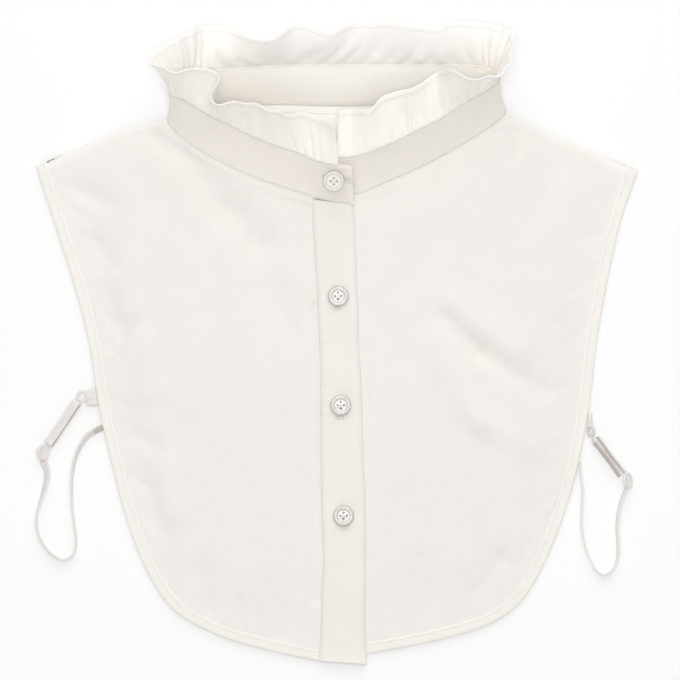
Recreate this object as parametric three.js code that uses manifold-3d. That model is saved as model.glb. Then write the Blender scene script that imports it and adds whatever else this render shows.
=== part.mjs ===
// Detachable ruffled collar, laid flat: a sleeveless half blouse in plain white cloth, with a buttoned
// front, a stand collar, a gathered ruffle and an adjustable elastic strap at each side.
// Millimetres. X runs to the picture's right, Y to the neck, Z up from the surface that it lies on.
import * as THREE from "three";
import { mergeVertices } from "three/addons/utils/BufferGeometryUtils.js";
import Module from "manifold-3d";

const wasm = await Module();
wasm.setup();

// Cloth walls and seams
const CLOTH = 1.2;
const SEAM_GAP = 0.3;
const BINDING_WIDTH = 6;
const BINDING_WALL = 1.5;
const PLACKET_WALL = 1.6;
const BAND_WALL = 1.6;
const BAND_WIDTH = 25;
const RUFFLE_WALL = 1;
const RUFFLE_DEPTH = 25;

// Heights of the laid layers, all of them to the middle of the wall
const BACK_HEIGHT = CLOTH / 2;
const FRONT_EDGE_HEIGHT = 2.65;
const FRONT_PUFF = 2.2;
const PUFF_REACH = 40;
const NECK_LIFT = 1.4;
const NECK_REACH = 26;
const SHOULDER_RADIUS = 2.8;
const SHOULDER_FOOT = 0.3;
const BACK_INSET = 2.4;
const BACK_START_SHARE = 0.009;

// Gathers at the ruffle's seam
const GATHERS = 68;
const GATHER_DEPTH = 0.7;
const RUFFLE_RISE_LIMIT = 18;

// Buttons
const BUTTON_RADIUS = 5.75;
const BUTTON_HEIGHT = 2.4;
const BUTTON_RIM = 1.1;
const BUTTON_HOLE_RADIUS = 0.85;
const BUTTON_HOLE_SPACING = 1.7;

// Straps
const STRAP_WIDTH = 5;
const STRAP_WALL = 1;
const TAB_WALL = 1.2;
const RING_RADIUS = 3.4;
const RING_HOLE_RADIUS = 1.65;
const RING_WALL = 1.6;
const SLIDER_RADIUS = 4.5;
const SLIDER_WALL = 1.8;
const FLOOR_GAP = 0.2;

// Outer edge of each front, from the shoulder's end round to the placket
const frontEdge = {
  left: [
    { x: -165.3, y: 97.4 }, { x: -155.0, y: 65.8 }, { x: -145.0, y: 34.4 }, { x: -136.7, y: 3.1 },
    { x: -130.9, y: -34.0 }, { x: -124.7, y: -61.8 }, { x: -115.8, y: -95.4 }, { x: -104.6, y: -124.5 },
    { x: -90.0, y: -146.0 }, { x: -67.5, y: -159.4 }, { x: -42.1, y: -167.4 }, { x: -8.5, y: -175.0 },
  ],
  right: [
    { x: 165.8, y: 95.2 }, { x: 156.8, y: 69.2 }, { x: 148.9, y: 34.4 }, { x: 143.2, y: 2.0 },
    { x: 138.8, y: -35.4 }, { x: 133.2, y: -65.1 }, { x: 126.4, y: -89.9 }, { x: 114.1, y: -121.2 },
    { x: 100.7, y: -142.6 }, { x: 84.9, y: -153.8 }, { x: 56.9, y: -162.7 }, { x: -5.5, y: -174.6 },
  ],
};
// Share of that edge that is armhole and side; the rest is hem
const SIDE_SHARE = 0.72;
// How far each shoulder line bows out of the straight
const shoulderBow = { left: 2, right: 0.3 };

// Stations round the neck, from the end of the band that lies on top, over the left front, round the
// back and over the right front to the end that lies under it: the seam on the blouse (baseX, baseY,
// baseZ) and the band's upper edge (topX, topY). The upper edge's height follows from the band's width.
const neckStations = [
  { baseX: 9.3, baseY: 76.5, baseZ: 8.4, topX: 8.7, topY: 97.2 },
  { baseX: -8.0, baseY: 79.3, baseZ: 8.4, topX: -8.0, topY: 99.7 },
  { baseX: -25.6, baseY: 84.2, baseZ: 7.2, topX: -22.0, topY: 105.3 },
  { baseX: -47.6, baseY: 91.9, baseZ: 6.6, topX: -41.0, topY: 112.0 },
  { baseX: -66.9, baseY: 101.0, baseZ: 6.0, topX: -57.0, topY: 119.5 },
  { baseX: -80.6, baseY: 109.2, baseZ: 5.2, topX: -71.0, topY: 126.4 },
  { baseX: -88.9, baseY: 116.4, baseZ: 4.5, topX: -83.3, topY: 133.9 },
  { baseX: -92.7, baseY: 121.9, baseZ: 3.8, topX: -91.4, topY: 137.4 },
  { baseX: -90.5, baseY: 127.4, baseZ: 3.0, topX: -90.3, topY: 142.8 },
  { baseX: -82.3, baseY: 130.3, baseZ: 2.2, topX: -83.4, topY: 147.6 },
  { baseX: -69.6, baseY: 131.2, baseZ: 1.7, topX: -71.3, topY: 150.4 },
  { baseX: -33.9, baseY: 131.5, baseZ: 1.6, topX: -33.9, topY: 153.5 },
  { baseX: -1.4, baseY: 130.7, baseZ: 1.6, topX: -1.4, topY: 153.9 },
  { baseX: 34.9, baseY: 131.8, baseZ: 1.6, topX: 34.9, topY: 153.8 },
  { baseX: 73.4, baseY: 132.9, baseZ: 1.7, topX: 73.4, topY: 153.5 },
  { baseX: 84.4, baseY: 132.6, baseZ: 2.2, topX: 84.4, topY: 151.6 },
  { baseX: 91.0, baseY: 130.7, baseZ: 3.0, topX: 88.8, topY: 148.2 },
  { baseX: 92.9, baseY: 126.3, baseZ: 3.8, topX: 88.4, topY: 144.2 },
  { baseX: 88.8, baseY: 121.9, baseZ: 4.6, topX: 84.0, topY: 140.2 },
  { baseX: 77.8, baseY: 114.2, baseZ: 5.3, topX: 71.2, topY: 133.0 },
  { baseX: 62.4, baseY: 105.1, baseZ: 5.9, topX: 57.4, topY: 124.1 },
  { baseX: 46.4, baseY: 96.6, baseZ: 6.3, topX: 42.6, topY: 116.7 },
  { baseX: 29.9, baseY: 89.4, baseZ: 6.5, topX: 28.3, topY: 109.7 },
  { baseX: 9.6, baseY: 81.4, baseZ: 6.2, topX: 8.4, topY: 102.9 },
  { baseX: -9.1, baseY: 82.2, baseZ: 5.8, topX: -9.6, topY: 103.3 },
];
// Stations where the front seam ends and the back seam starts at each neck point, and those where the
// ruffle starts and ends at the centre front
const LEFT_NECK_STATION = 7.3;
const RIGHT_NECK_STATION = 17;
const RUFFLE_FIRST_STATION = 0.52;
const RUFFLE_LAST_STATION = 23.4;

// The ruffle's free edge, a row for each turn of a wave: its station on the band, where the edge lies,
// and how much it is lifted (+) or pressed down (-) from where its depth would bring it.
const ruffleTurns = [
  { station: 0.5, x: -0.8, y: 119.0, lift: -1 },
  { station: 1.05, x: -10.5, y: 124.2, lift: 0 },
  { station: 1.45, x: -17.6, y: 126.6, lift: 2 },
  { station: 2.0, x: -26.5, y: 125.6, lift: -1 },
  { station: 2.6, x: -36.0, y: 128.2, lift: 2 },
  { station: 3.2, x: -46.0, y: 131.6, lift: 1 },
  { station: 3.75, x: -56.0, y: 132.6, lift: -2 },
  { station: 4.25, x: -65.0, y: 131.3, lift: -1 },
  { station: 4.55, x: -70.2, y: 134.0, lift: 0 },
  { station: 4.85, x: -67.0, y: 140.4, lift: 2 },
  { station: 5.15, x: -63.2, y: 146.0, lift: 3 },
  { station: 5.45, x: -69.0, y: 149.8, lift: 1 },
  { station: 5.8, x: -76.0, y: 151.4, lift: 0 },
  { station: 6.3, x: -87.0, y: 148.6, lift: -2 },
  { station: 6.8, x: -96.2, y: 151.4, lift: 0 },
  { station: 7.3, x: -102.6, y: 155.4, lift: 1 },
  { station: 8.0, x: -97.1, y: 161.2, lift: -1 },
  { station: 8.7, x: -87.5, y: 166.4, lift: 0 },
  { station: 9.4, x: -77.0, y: 172.6, lift: 2 },
  { station: 9.9, x: -67.4, y: 174.2, lift: 1 },
  { station: 10.25, x: -57.3, y: 172.6, lift: -1 },
  { station: 10.5, x: -51.0, y: 168.2, lift: -2 },
  { station: 10.8, x: -41.0, y: 166.2, lift: 0 },
  { station: 11.1, x: -31.5, y: 167.0, lift: 3 },
  { station: 11.3, x: -26.0, y: 174.6, lift: 1 },
  { station: 11.6, x: -16.0, y: 174.6, lift: 1 },
  { station: 11.95, x: -3.6, y: 169.2, lift: -2 },
  { station: 12.25, x: 6.0, y: 175.0, lift: 1 },
  { station: 12.6, x: 19.0, y: 176.2, lift: 0 },
  { station: 13.0, x: 33.0, y: 175.6, lift: 2 },
  { station: 13.3, x: 46.0, y: 173.4, lift: 0 },
  { station: 13.5, x: 55.0, y: 170.6, lift: -2 },
  { station: 13.65, x: 58.5, y: 176.0, lift: 2 },
  { station: 14.0, x: 70.5, y: 176.4, lift: 1 },
  { station: 14.7, x: 82.5, y: 175.2, lift: -1 },
  { station: 15.5, x: 91.0, y: 173.0, lift: 0 },
  { station: 16.3, x: 96.7, y: 169.2, lift: 2 },
  { station: 17.1, x: 95.6, y: 159.5, lift: 0 },
  { station: 17.7, x: 92.0, y: 148.6, lift: 1 },
  { station: 18.4, x: 82.5, y: 145.8, lift: 2 },
  { station: 19.0, x: 72.0, y: 145.6, lift: 0 },
  { station: 19.6, x: 62.0, y: 150.6, lift: 3 },
  { station: 20.3, x: 54.5, y: 148.6, lift: 0 },
  { station: 20.9, x: 44.2, y: 141.0, lift: -1 },
  { station: 21.6, x: 34.0, y: 138.4, lift: 2 },
  { station: 22.1, x: 24.0, y: 135.0, lift: 0 },
  { station: 22.5, x: 19.0, y: 127.8, lift: -2 },
  { station: 22.95, x: 10.5, y: 129.0, lift: 1 },
  { station: 23.4, x: 1.2, y: 127.4, lift: 0 },
];

// Placket edges down the front
const placketEdges = [
  { y: 76.4, left: -13.4, right: 9.0 }, { y: 60.0, left: -12.7, right: 10.0 },
  { y: 30.0, left: -10.4, right: 11.4 }, { y: 0.0, left: -9.0, right: 12.2 },
  { y: -30.0, left: -8.4, right: 13.6 }, { y: -70.0, left: -8.1, right: 15.0 },
  { y: -120.0, left: -7.2, right: 16.1 }, { y: -155.0, left: -8.4, right: 15.6 },
  { y: -176.0, left: -9.6, right: 16.0 },
];

// Soft folds of the fronts, a row for each stretch: from, to, how wide and how high (+) or deep (-)
const frontFolds = [
  { x0: -83.4, y0: 105, x1: -58.6, y1: 73.5, width: 9, height: -1.5 },
  { x0: -58.6, y0: 73.5, x1: -41.0, y1: 54.2, width: 9, height: -1.3 },
  { x0: -39.4, y0: 26.7, x1: -20.1, y1: 2.0, width: 9, height: -1.1 },
  { x0: -144.0, y0: 86, x1: -126.0, y1: 77, width: 6, height: -0.9 },
  { x0: -136.0, y0: 56, x1: -122.0, y1: 44, width: 6, height: -0.9 },
  { x0: -128.0, y0: 28, x1: -119.0, y1: 6, width: 6, height: -0.9 },
  { x0: -117.0, y0: -47.5, x1: -101.0, y1: -56, width: 6, height: -0.9 },
  { x0: -106.0, y0: -80, x1: -95.0, y1: -110, width: 7, height: -1 },
  { x0: -117.0, y0: 44, x1: -113.0, y1: 20, width: 8, height: 1.1 },
  { x0: -107.0, y0: 0, x1: -104.0, y1: -26, width: 8, height: 1.1 },
  { x0: -96.0, y0: -66, x1: -90.0, y1: -92, width: 8, height: 1.1 },
  { x0: 65.1, y0: 21.2, x1: 100.9, y1: -3.5, width: 8, height: 1.3 },
  { x0: 59.6, y0: 14.0, x1: 78.9, y1: -5.0, width: 6, height: -1.4 },
  { x0: 78.9, y0: -5.0, x1: 111.9, y1: -25.5, width: 6, height: -1.4 },
  { x0: 51.4, y0: 0.0, x1: 78.9, y1: -42.0, width: 8, height: 1.2 },
  { x0: 78.9, y0: -42.0, x1: 111.9, y1: -58.5, width: 8, height: 1.1 },
  { x0: 36.0, y0: -20, x1: 36.0, y1: -75, width: 8, height: 0.9 },
  { x0: 90.0, y0: -119, x1: 79.0, y1: -135.5, width: 6, height: -1 },
  { x0: 45.9, y0: -118, x1: 45.9, y1: -148, width: 5, height: -0.8 },
  { x0: 118.0, y0: 96, x1: 108.0, y1: 70, width: 8, height: -0.9 },
];

// Centres of the buttons: the first lies on the band, the others on the placket
const buttonPlaces = [
  { name: "button_1", x: -0.6, y: 89.2 },
  { name: "button_2", x: 0.9, y: 26.2 },
  { name: "button_3", x: 2.3, y: -33.8 },
  { name: "button_4", x: 3.8, y: -94.5 },
];
const BAND_BUTTON_STATION = 0.64;
const BAND_BUTTON_RISE = 0.62;
const BAND_BUTTON_LEVEL = 0.55;
const BUTTON_FOOT_INSET = 1;

// Each strap: its tab at the front's edge, the ring, the doubled stretch to the slider, and the free
// loop back to the back's edge. turn is an angle in the picture, tilt and roll are angles out of it,
// and lean is the loop's angle from standing on edge, all in degrees. spread parts the two layers.
const straps = {
  left: {
    tab: { x: -131.9, y: -29.0, turn: 188.9, length: 4.1, rootHeight: 10, tipHeight: 7.4, standing: false },
    ring: { x: -139.7, y: -28.9, tilt: 0 },
    fold: { fromX: -143.1, fromY: -32.8, toX: -158.4, toY: -55.6, roll: 25, spread: 1.2 },
    slider: { x: -161.2, y: -59.6, turn: 80, tilt: 40 },
    loop: [
      { x: -161.0, y: -65.3, lean: 50 }, { x: -159.2, y: -70.6, lean: 40 }, { x: -160.0, y: -77.2, lean: 30 },
      { x: -162.6, y: -86.0, lean: 12 }, { x: -164.8, y: -94.3, lean: 0 }, { x: -164.5, y: -102.5, lean: 0 },
      { x: -161.5, y: -109.7, lean: 0 }, { x: -156.5, y: -115.7, lean: 0 }, { x: -150.5, y: -118.7, lean: 0 },
      { x: -145.0, y: -116.3, lean: 0 }, { x: -143.1, y: -109.7, lean: 0 }, { x: -143.9, y: -100.9, lean: 0 },
      { x: -145.3, y: -88.8, lean: 0 }, { x: -145.5, y: -75.0, lean: 6 }, { x: -143.9, y: -64.0, lean: 14 },
      { x: -141.1, y: -56.9, lean: 24 }, { x: -136.6, y: -50.6, lean: 34 }, { x: -130.2, y: -46.8, lean: 38 },
    ],
  },
  right: {
    tab: { x: 139.4, y: -38.2, turn: -88, length: 6.0, rootHeight: 5.5, tipHeight: 5.5, standing: true },
    ring: { x: 139.9, y: -48.2, tilt: 57 },
    fold: { fromX: 143.1, fromY: -53.2, toX: 157.2, toY: -72.0, roll: 68, spread: 1.9 },
    slider: { x: 160.0, y: -75.3, turn: 96, tilt: 58 },
    loop: [
      { x: 158.7, y: -80.3, lean: 10 }, { x: 155.8, y: -88.8, lean: 12 }, { x: 154.2, y: -99.8, lean: 12 },
      { x: 154.8, y: -110.8, lean: 12 }, { x: 154.2, y: -119.0, lean: 4 }, { x: 151.5, y: -124.5, lean: 0 },
      { x: 147.4, y: -127.0, lean: 0 }, { x: 143.2, y: -125.0, lean: 0 }, { x: 139.4, y: -118.6, lean: 0 },
      { x: 136.1, y: -109.7, lean: 0 }, { x: 134.7, y: -101.0, lean: 0 }, { x: 134.7, y: -91.5, lean: 0 },
      { x: 135.2, y: -80.5, lean: 0 }, { x: 134.2, y: -73.0, lean: 0 }, { x: 133.9, y: -66.8, lean: 0 },
    ],
  },
};

const cloth = new THREE.MeshStandardMaterial({ color: 0xefece7, roughness: 0.9, metalness: 0 });
const elastic = new THREE.MeshStandardMaterial({ color: 0xd6cfca, roughness: 0.8, metalness: 0 });
const clearPlastic = new THREE.MeshStandardMaterial({ color: 0xe4e2de, roughness: 0.3, metalness: 0 });

// Small helpers

function ease(t) {
  const c = Math.min(1, Math.max(0, t));
  return c * c * (3 - 2 * c);
}

function mix(a, b, t) {
  return a + (b - a) * t;
}

// Smooth value of one column of a table at a fractional row
function columnAt(rows, column, at) {
  const i = Math.min(rows.length - 2, Math.max(0, Math.floor(at)));
  const t = Math.min(1, Math.max(0, at - i));
  const before = rows[Math.max(0, i - 1)][column];
  const from = rows[i][column];
  const to = rows[i + 1][column];
  const after = rows[Math.min(rows.length - 1, i + 2)][column];
  const m0 = (to - before) / 2;
  const m1 = (after - from) / 2;
  const t2 = t * t;
  const t3 = t2 * t;
  return (2 * t3 - 3 * t2 + 1) * from + (t3 - 2 * t2 + t) * m0 + (3 * t2 - 2 * t3) * to + (t3 - t2) * m1;
}

// Fractional row where a rising column reaches a value
function rowWhere(rows, column, value) {
  let i = 0;
  while (i < rows.length - 2 && rows[i + 1][column] < value) i += 1;
  return i + (value - rows[i][column]) / (rows[i + 1][column] - rows[i][column]);
}

function curveThrough(rows) {
  return new THREE.CatmullRomCurve3(rows.map((r) => new THREE.Vector3(r.x, r.y, 0)), false, "centripetal");
}

function distanceToStretch(x, y, a, b) {
  const dx = b.x - a.x;
  const dy = b.y - a.y;
  const t = Math.min(1, Math.max(0, ((x - a.x) * dx + (y - a.y) * dy) / (dx * dx + dy * dy)));
  return Math.hypot(x - a.x - dx * t, y - a.y - dy * t);
}

function distanceToLine(x, y, points) {
  let nearest = Infinity;
  for (let i = 0; i + 1 < points.length; i += 1) {
    nearest = Math.min(nearest, distanceToStretch(x, y, points[i], points[i + 1]));
  }
  return nearest;
}

// Point at a share of a flat curve's length, moved sideways towards the garment's middle
function insetPoint(curve, share, inset, side) {
  const p = curve.getPointAt(share);
  const along = curve.getTangentAt(share);
  const inwards = side === "left" ? 1 : -1;
  return new THREE.Vector3(p.x - along.y * inset * inwards, p.y + along.x * inset * inwards, 0);
}

// A closed solid from a grid of points in the middle of a wall
function wall(grid, thickness) {
  const rows = grid.length;
  const columns = grid[0].length;
  const half = thickness / 2;
  const positions = [];
  const normalAt = (i, j) => {
    const down = grid[Math.min(rows - 1, i + 1)][j].clone().sub(grid[Math.max(0, i - 1)][j]);
    const across = grid[i][Math.min(columns - 1, j + 1)].clone().sub(grid[i][Math.max(0, j - 1)]);
    return across.cross(down).normalize();
  };
  for (const face of [half, -half]) {
    for (let i = 0; i < rows; i += 1) {
      for (let j = 0; j < columns; j += 1) {
        const p = grid[i][j].clone().addScaledVector(normalAt(i, j), face);
        positions.push(p.x, p.y, p.z);
      }
    }
  }
  const triangles = [];
  const at = (face, i, j) => face * rows * columns + i * columns + j;
  const quad = (a, b, c, d) => triangles.push(a, b, c, a, c, d);
  for (let i = 0; i + 1 < rows; i += 1) {
    for (let j = 0; j + 1 < columns; j += 1) {
      quad(at(0, i, j), at(0, i, j + 1), at(0, i + 1, j + 1), at(0, i + 1, j));
      quad(at(1, i, j), at(1, i + 1, j), at(1, i + 1, j + 1), at(1, i, j + 1));
    }
  }
  for (let i = 0; i + 1 < rows; i += 1) {
    quad(at(0, i, 0), at(0, i + 1, 0), at(1, i + 1, 0), at(1, i, 0));
    const last = columns - 1;
    quad(at(0, i + 1, last), at(0, i, last), at(1, i, last), at(1, i + 1, last));
  }
  for (let j = 0; j + 1 < columns; j += 1) {
    quad(at(0, 0, j + 1), at(0, 0, j), at(1, 0, j), at(1, 0, j + 1));
    const last = rows - 1;
    quad(at(0, last, j), at(0, last, j + 1), at(1, last, j + 1), at(1, last, j));
  }
  return outwards(new THREE.Float32BufferAttribute(positions, 3), triangles);
}

// The same closed solid with its faces turned outwards
function outwards(positions, triangles) {
  const p = [0, 1, 2].map(() => new THREE.Vector3());
  let volume = 0;
  for (let i = 0; i < triangles.length; i += 3) {
    p.forEach((v, k) => v.fromBufferAttribute(positions, triangles[i + k]));
    volume += p[0].dot(p[1].cross(p[2]));
  }
  if (volume < 0) {
    for (let i = 0; i < triangles.length; i += 3) {
      [triangles[i + 1], triangles[i + 2]] = [triangles[i + 2], triangles[i + 1]];
    }
  }
  const geometry = new THREE.BufferGeometry();
  geometry.setAttribute("position", positions);
  geometry.setIndex(triangles);
  return geometry;
}

const collar = new THREE.Group();

function add(name, geometry, material) {
  geometry.computeVertexNormals();
  const mesh = new THREE.Mesh(geometry, material);
  mesh.name = name;
  collar.add(mesh);
  return mesh;
}

// The neck: its seam on the blouse and the band's upper edge

function seamPoint(station) {
  return new THREE.Vector3(
    columnAt(neckStations, "baseX", station),
    columnAt(neckStations, "baseY", station),
    columnAt(neckStations, "baseZ", station),
  );
}

// How far a piece rises when it is this deep and runs this far across the picture
function riseOf(depth, run) {
  return Math.sqrt(Math.max(0, depth * depth - run * run));
}

function bandTop(station) {
  const base = seamPoint(station);
  const x = columnAt(neckStations, "topX", station);
  const y = columnAt(neckStations, "topY", station);
  const run = Math.hypot(x - base.x, y - base.y);
  return new THREE.Vector3(x, y, base.z + riseOf(BAND_WIDTH, run));
}

// The blouse's neckline: the seam moved out, clear of the band's lower edge
const NECK_CLEARANCE = BAND_WALL / 2 + SEAM_GAP;

// side is 1 where the blouse lies on the left hand, going round by stations, and -1 on the right hand
function necklinePoint(station, side) {
  const clear = NECK_CLEARANCE * side;
  const step = 0.05;
  const before = seamPoint(station - step);
  const after = seamPoint(station + step);
  const along = after.sub(before).setZ(0).normalize();
  const p = seamPoint(station);
  return new THREE.Vector3(p.x - along.y * clear, p.y + along.x * clear, 0);
}

// The fronts

const edgeCurve = { left: curveThrough(frontEdge.left), right: curveThrough(frontEdge.right) };
const EDGE_SAMPLES = 60;
const edgePoints = [
  ...edgeCurve.left.getSpacedPoints(EDGE_SAMPLES),
  ...edgeCurve.right.getSpacedPoints(EDGE_SAMPLES).reverse(),
];
const PANEL_INSET = BINDING_WIDTH + SEAM_GAP;

// Points along a shoulder, from the neck point out to the panel's corner
function shoulderLine(neckPoint, corner, side, count) {
  const points = [];
  for (let k = 1; k <= count; k += 1) {
    const t = k / count;
    const p = neckPoint.clone().lerp(corner, t);
    p.y += shoulderBow[side] * 4 * t * (1 - t);
    points.push(p);
  }
  return points;
}

const NECK_COLUMNS = 11;
const SHOULDER_COLUMNS = 7;

// A panel's upper edge: along the neckline from one station to another, then along the shoulder
function upperEdge(firstStation, neckStation, corner, side) {
  const points = [];
  for (let k = 0; k <= NECK_COLUMNS; k += 1) {
    points.push(necklinePoint(mix(firstStation, neckStation, k / NECK_COLUMNS), 1));
  }
  return points.concat(shoulderLine(points[NECK_COLUMNS], corner, side, SHOULDER_COLUMNS));
}

const frontStation = { left: 1.16, right: 23.98 };
const neckStation = { left: LEFT_NECK_STATION, right: RIGHT_NECK_STATION };
const frontUpper = {};
for (const side of ["left", "right"]) {
  const corner = insetPoint(edgeCurve[side], 0, PANEL_INSET, side);
  frontUpper[side] = upperEdge(frontStation[side], neckStation[side], corner, side);
}
const shoulderPoints = {
  left: frontUpper.left.slice(NECK_COLUMNS),
  right: frontUpper.right.slice(NECK_COLUMNS),
};
const neckPoints = [
  ...frontUpper.left.slice(0, NECK_COLUMNS + 1).reverse(),
  ...frontUpper.right.slice(0, NECK_COLUMNS + 1),
];

function foldHeight(x, y) {
  let sum = 0;
  for (const fold of frontFolds) {
    const d = distanceToStretch(x, y, { x: fold.x0, y: fold.y0 }, { x: fold.x1, y: fold.y1 });
    sum += fold.height * Math.exp(-((d / fold.width) ** 2));
  }
  return sum;
}

const FOLD_FADE = 16;
const FRONTS_MEET_X = -10.3;
const PLACKET_MIDDLE_X = 2;
const PLACKET_FADE_FROM = 14;
const PLACKET_FADE_OVER = 12;
const SHOULDER_PUFF = 6;
const NECK_POINT_REACH = 8;

// Height of the middle of the front's wall
function frontHeight(x, y) {
  const side = x < FRONTS_MEET_X ? "left" : "right";
  const fromEdge = distanceToLine(x, y, edgePoints) - PANEL_INSET;
  const fromShoulder = distanceToLine(x, y, shoulderPoints[side]);
  const fromNeck = distanceToLine(x, y, neckPoints);
  const puff = FRONT_PUFF * ease(fromEdge / PUFF_REACH) * ease((fromShoulder + SHOULDER_PUFF) / PUFF_REACH);
  const lift = NECK_LIFT * Math.exp(-((fromNeck / NECK_REACH) ** 2)) * ease(fromEdge / FOLD_FADE);
  const fade = ease(fromEdge / FOLD_FADE) * ease(fromShoulder / FOLD_FADE);
  const aside = ease((Math.abs(x - PLACKET_MIDDLE_X) - PLACKET_FADE_FROM) / PLACKET_FADE_OVER);
  const flat = FRONT_EDGE_HEIGHT + puff + lift + foldHeight(x, y) * fade * aside;
  if (fromShoulder >= SHOULDER_RADIUS) return flat;
  const t = 1 - fromShoulder / SHOULDER_RADIUS;
  const pastNeck = ease(distanceTo(shoulderPoints[side][0], x, y) / NECK_POINT_REACH);
  const round = Math.sqrt(Math.max(0, 1 - t * t));
  return mix(flat, mix(SHOULDER_FOOT, flat, round), pastNeck);
}

function distanceTo(p, x, y) {
  return Math.hypot(p.x - x, p.y - y);
}

// A flat patch between four edges, as rows of points down the panel
function patch(upper, lowerAt, innerAt, outerAt, levels) {
  const lengths = [0];
  for (let k = 1; k < upper.length; k += 1) {
    lengths.push(lengths[k - 1] + upper[k].distanceTo(upper[k - 1]));
  }
  const total = lengths[lengths.length - 1];
  const corners = { a: upper[0], b: upper[upper.length - 1], c: lowerAt(0), d: lowerAt(1) };
  return levels.map((v) =>
    upper.map((top, k) => {
      const u = lengths[k] / total;
      const low = lowerAt(u);
      const inner = innerAt(v);
      const outer = outerAt(v);
      const blend = (axis) =>
        mix(top[axis], low[axis], v) +
        mix(inner[axis], outer[axis], u) -
        mix(mix(corners.a[axis], corners.b[axis], u), mix(corners.c[axis], corners.d[axis], u), v);
      return new THREE.Vector3(blend("x"), blend("y"), 0);
    }),
  );
}

// Levels down a panel, close together where the shoulder rounds over
function levelsDown(count) {
  const levels = [0, 0.0015, 0.005, 0.0105];
  for (let k = 1; k <= count; k += 1) levels.push(mix(0.0105, 1, k / count));
  return levels;
}

const FRONT_LEVELS = 17;
const CENTRE_BOW = 3.4;

function frontPanel(side) {
  const curve = edgeCurve[side];
  const low = insetPoint(curve, 1, PANEL_INSET, side);
  const upper = frontUpper[side];
  const innerAt = (v) => {
    const p = upper[0].clone().lerp(low, v);
    p.x += CENTRE_BOW * Math.sin(Math.PI * v);
    return p;
  };
  const outerAt = (v) => insetPoint(curve, v * SIDE_SHARE, PANEL_INSET, side);
  const lowerAt = (u) => insetPoint(curve, mix(1, SIDE_SHARE, u), PANEL_INSET, side);
  const grid = patch(upper, lowerAt, innerAt, outerAt, levelsDown(FRONT_LEVELS));
  for (const row of grid) {
    for (const p of row) p.z = frontHeight(p.x, p.y);
  }
  return add("front_" + side, wall(grid, CLOTH), cloth);
}

const BINDING_STEPS = 44;

function frontBinding(side) {
  const grid = [];
  for (let k = 0; k <= BINDING_STEPS; k += 1) {
    const share = k / BINDING_STEPS;
    const row = [0, BINDING_WIDTH].map((inset) => insetPoint(edgeCurve[side], share, inset, side));
    for (const p of row) p.z = FRONT_EDGE_HEIGHT;
    grid.push(row);
  }
  return add("binding_front_" + side, wall(grid, BINDING_WALL), cloth);
}

// The back: one flat piece, a little smaller than the fronts that cover it

const BACK_LEVELS = 14;
const BACK_NECK_COLUMNS = 14;

// How far the back's shoulder lies below the front's, which rounds over it
const SHOULDER_DROP = CLOTH + SEAM_GAP;

function backPanel() {
  const inset = BACK_INSET + PANEL_INSET;
  const leftCorner = insetPoint(edgeCurve.left, BACK_START_SHARE, inset, "left");
  const rightCorner = insetPoint(edgeCurve.right, BACK_START_SHARE, inset, "right");
  const shoulder = (side, corner) => {
    const neck = shoulderPoints[side][0].clone();
    const line = [neck, ...shoulderLine(neck, corner, side, SHOULDER_COLUMNS)];
    line.forEach((p, k) => {
      p.y -= k === SHOULDER_COLUMNS ? 0 : SHOULDER_DROP;
    });
    return line;
  };
  const neckline = [];
  for (let k = 1; k < BACK_NECK_COLUMNS; k += 1) {
    const station = mix(LEFT_NECK_STATION, RIGHT_NECK_STATION, k / BACK_NECK_COLUMNS);
    neckline.push(necklinePoint(station, -1));
  }
  const upper = [...shoulder("left", leftCorner).reverse(), ...neckline, ...shoulder("right", rightCorner)];
  const lowLeft = insetPoint(edgeCurve.left, 1, inset, "left");
  const lowRight = insetPoint(edgeCurve.right, 1, inset, "right");
  const hem = (u) => {
    if (u < 0.5) return insetPoint(edgeCurve.left, mix(SIDE_SHARE, 1, u * 2), inset, "left");
    return insetPoint(edgeCurve.right, mix(1, SIDE_SHARE, u * 2 - 1), inset, "right");
  };
  const join = lowLeft.y - lowRight.y;
  const lowerAt = (u) => {
    const p = hem(u);
    p.y -= u < 0.5 ? join * u : -join * (1 - u);
    return p;
  };
  const sideAt = (side) => (v) =>
    insetPoint(edgeCurve[side], mix(BACK_START_SHARE, SIDE_SHARE, v), inset, side);
  const levels = [];
  for (let k = 0; k <= BACK_LEVELS; k += 1) levels.push(k / BACK_LEVELS);
  const grid = patch(upper, lowerAt, sideAt("left"), sideAt("right"), levels);
  for (const row of grid) {
    for (const p of row) p.z = BACK_HEIGHT;
  }
  return add("back_panel", wall(grid, CLOTH), cloth);
}

function backBinding() {
  const steps = [];
  const shareAt = (k) => mix(BACK_START_SHARE, 1, k / BINDING_STEPS);
  for (let k = 0; k <= BINDING_STEPS; k += 1) steps.push({ side: "left", share: shareAt(k) });
  for (let k = BINDING_STEPS - 1; k >= 0; k -= 1) steps.push({ side: "right", share: shareAt(k) });
  const grid = steps.map((step) =>
    [BACK_INSET, BACK_INSET + BINDING_WIDTH].map((inset) => {
      const p = insetPoint(edgeCurve[step.side], step.share, inset, step.side);
      p.z = BINDING_WALL / 2;
      return p;
    }),
  );
  return add("binding_back", wall(grid, BINDING_WALL), cloth);
}

// The placket, made from the fronts' points and moved up

const PLACKET_STEPS = 32;
const PLACKET_COLUMNS = 3;
const PLACKET_LIFT = CLOTH / 2 + SEAM_GAP + PLACKET_WALL / 2;
const PLACKET_HEM_LIFT = 0.5;
const PLACKET_HEM_REACH = 25;
const PLACKET_TOP_SLOPE = 2.4;

function placketHeight(x, y) {
  const aboveHem = y - placketEdges[placketEdges.length - 1].y;
  return frontHeight(x, y) + PLACKET_LIFT + PLACKET_HEM_LIFT * Math.exp(-aboveHem / PLACKET_HEM_REACH);
}

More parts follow.
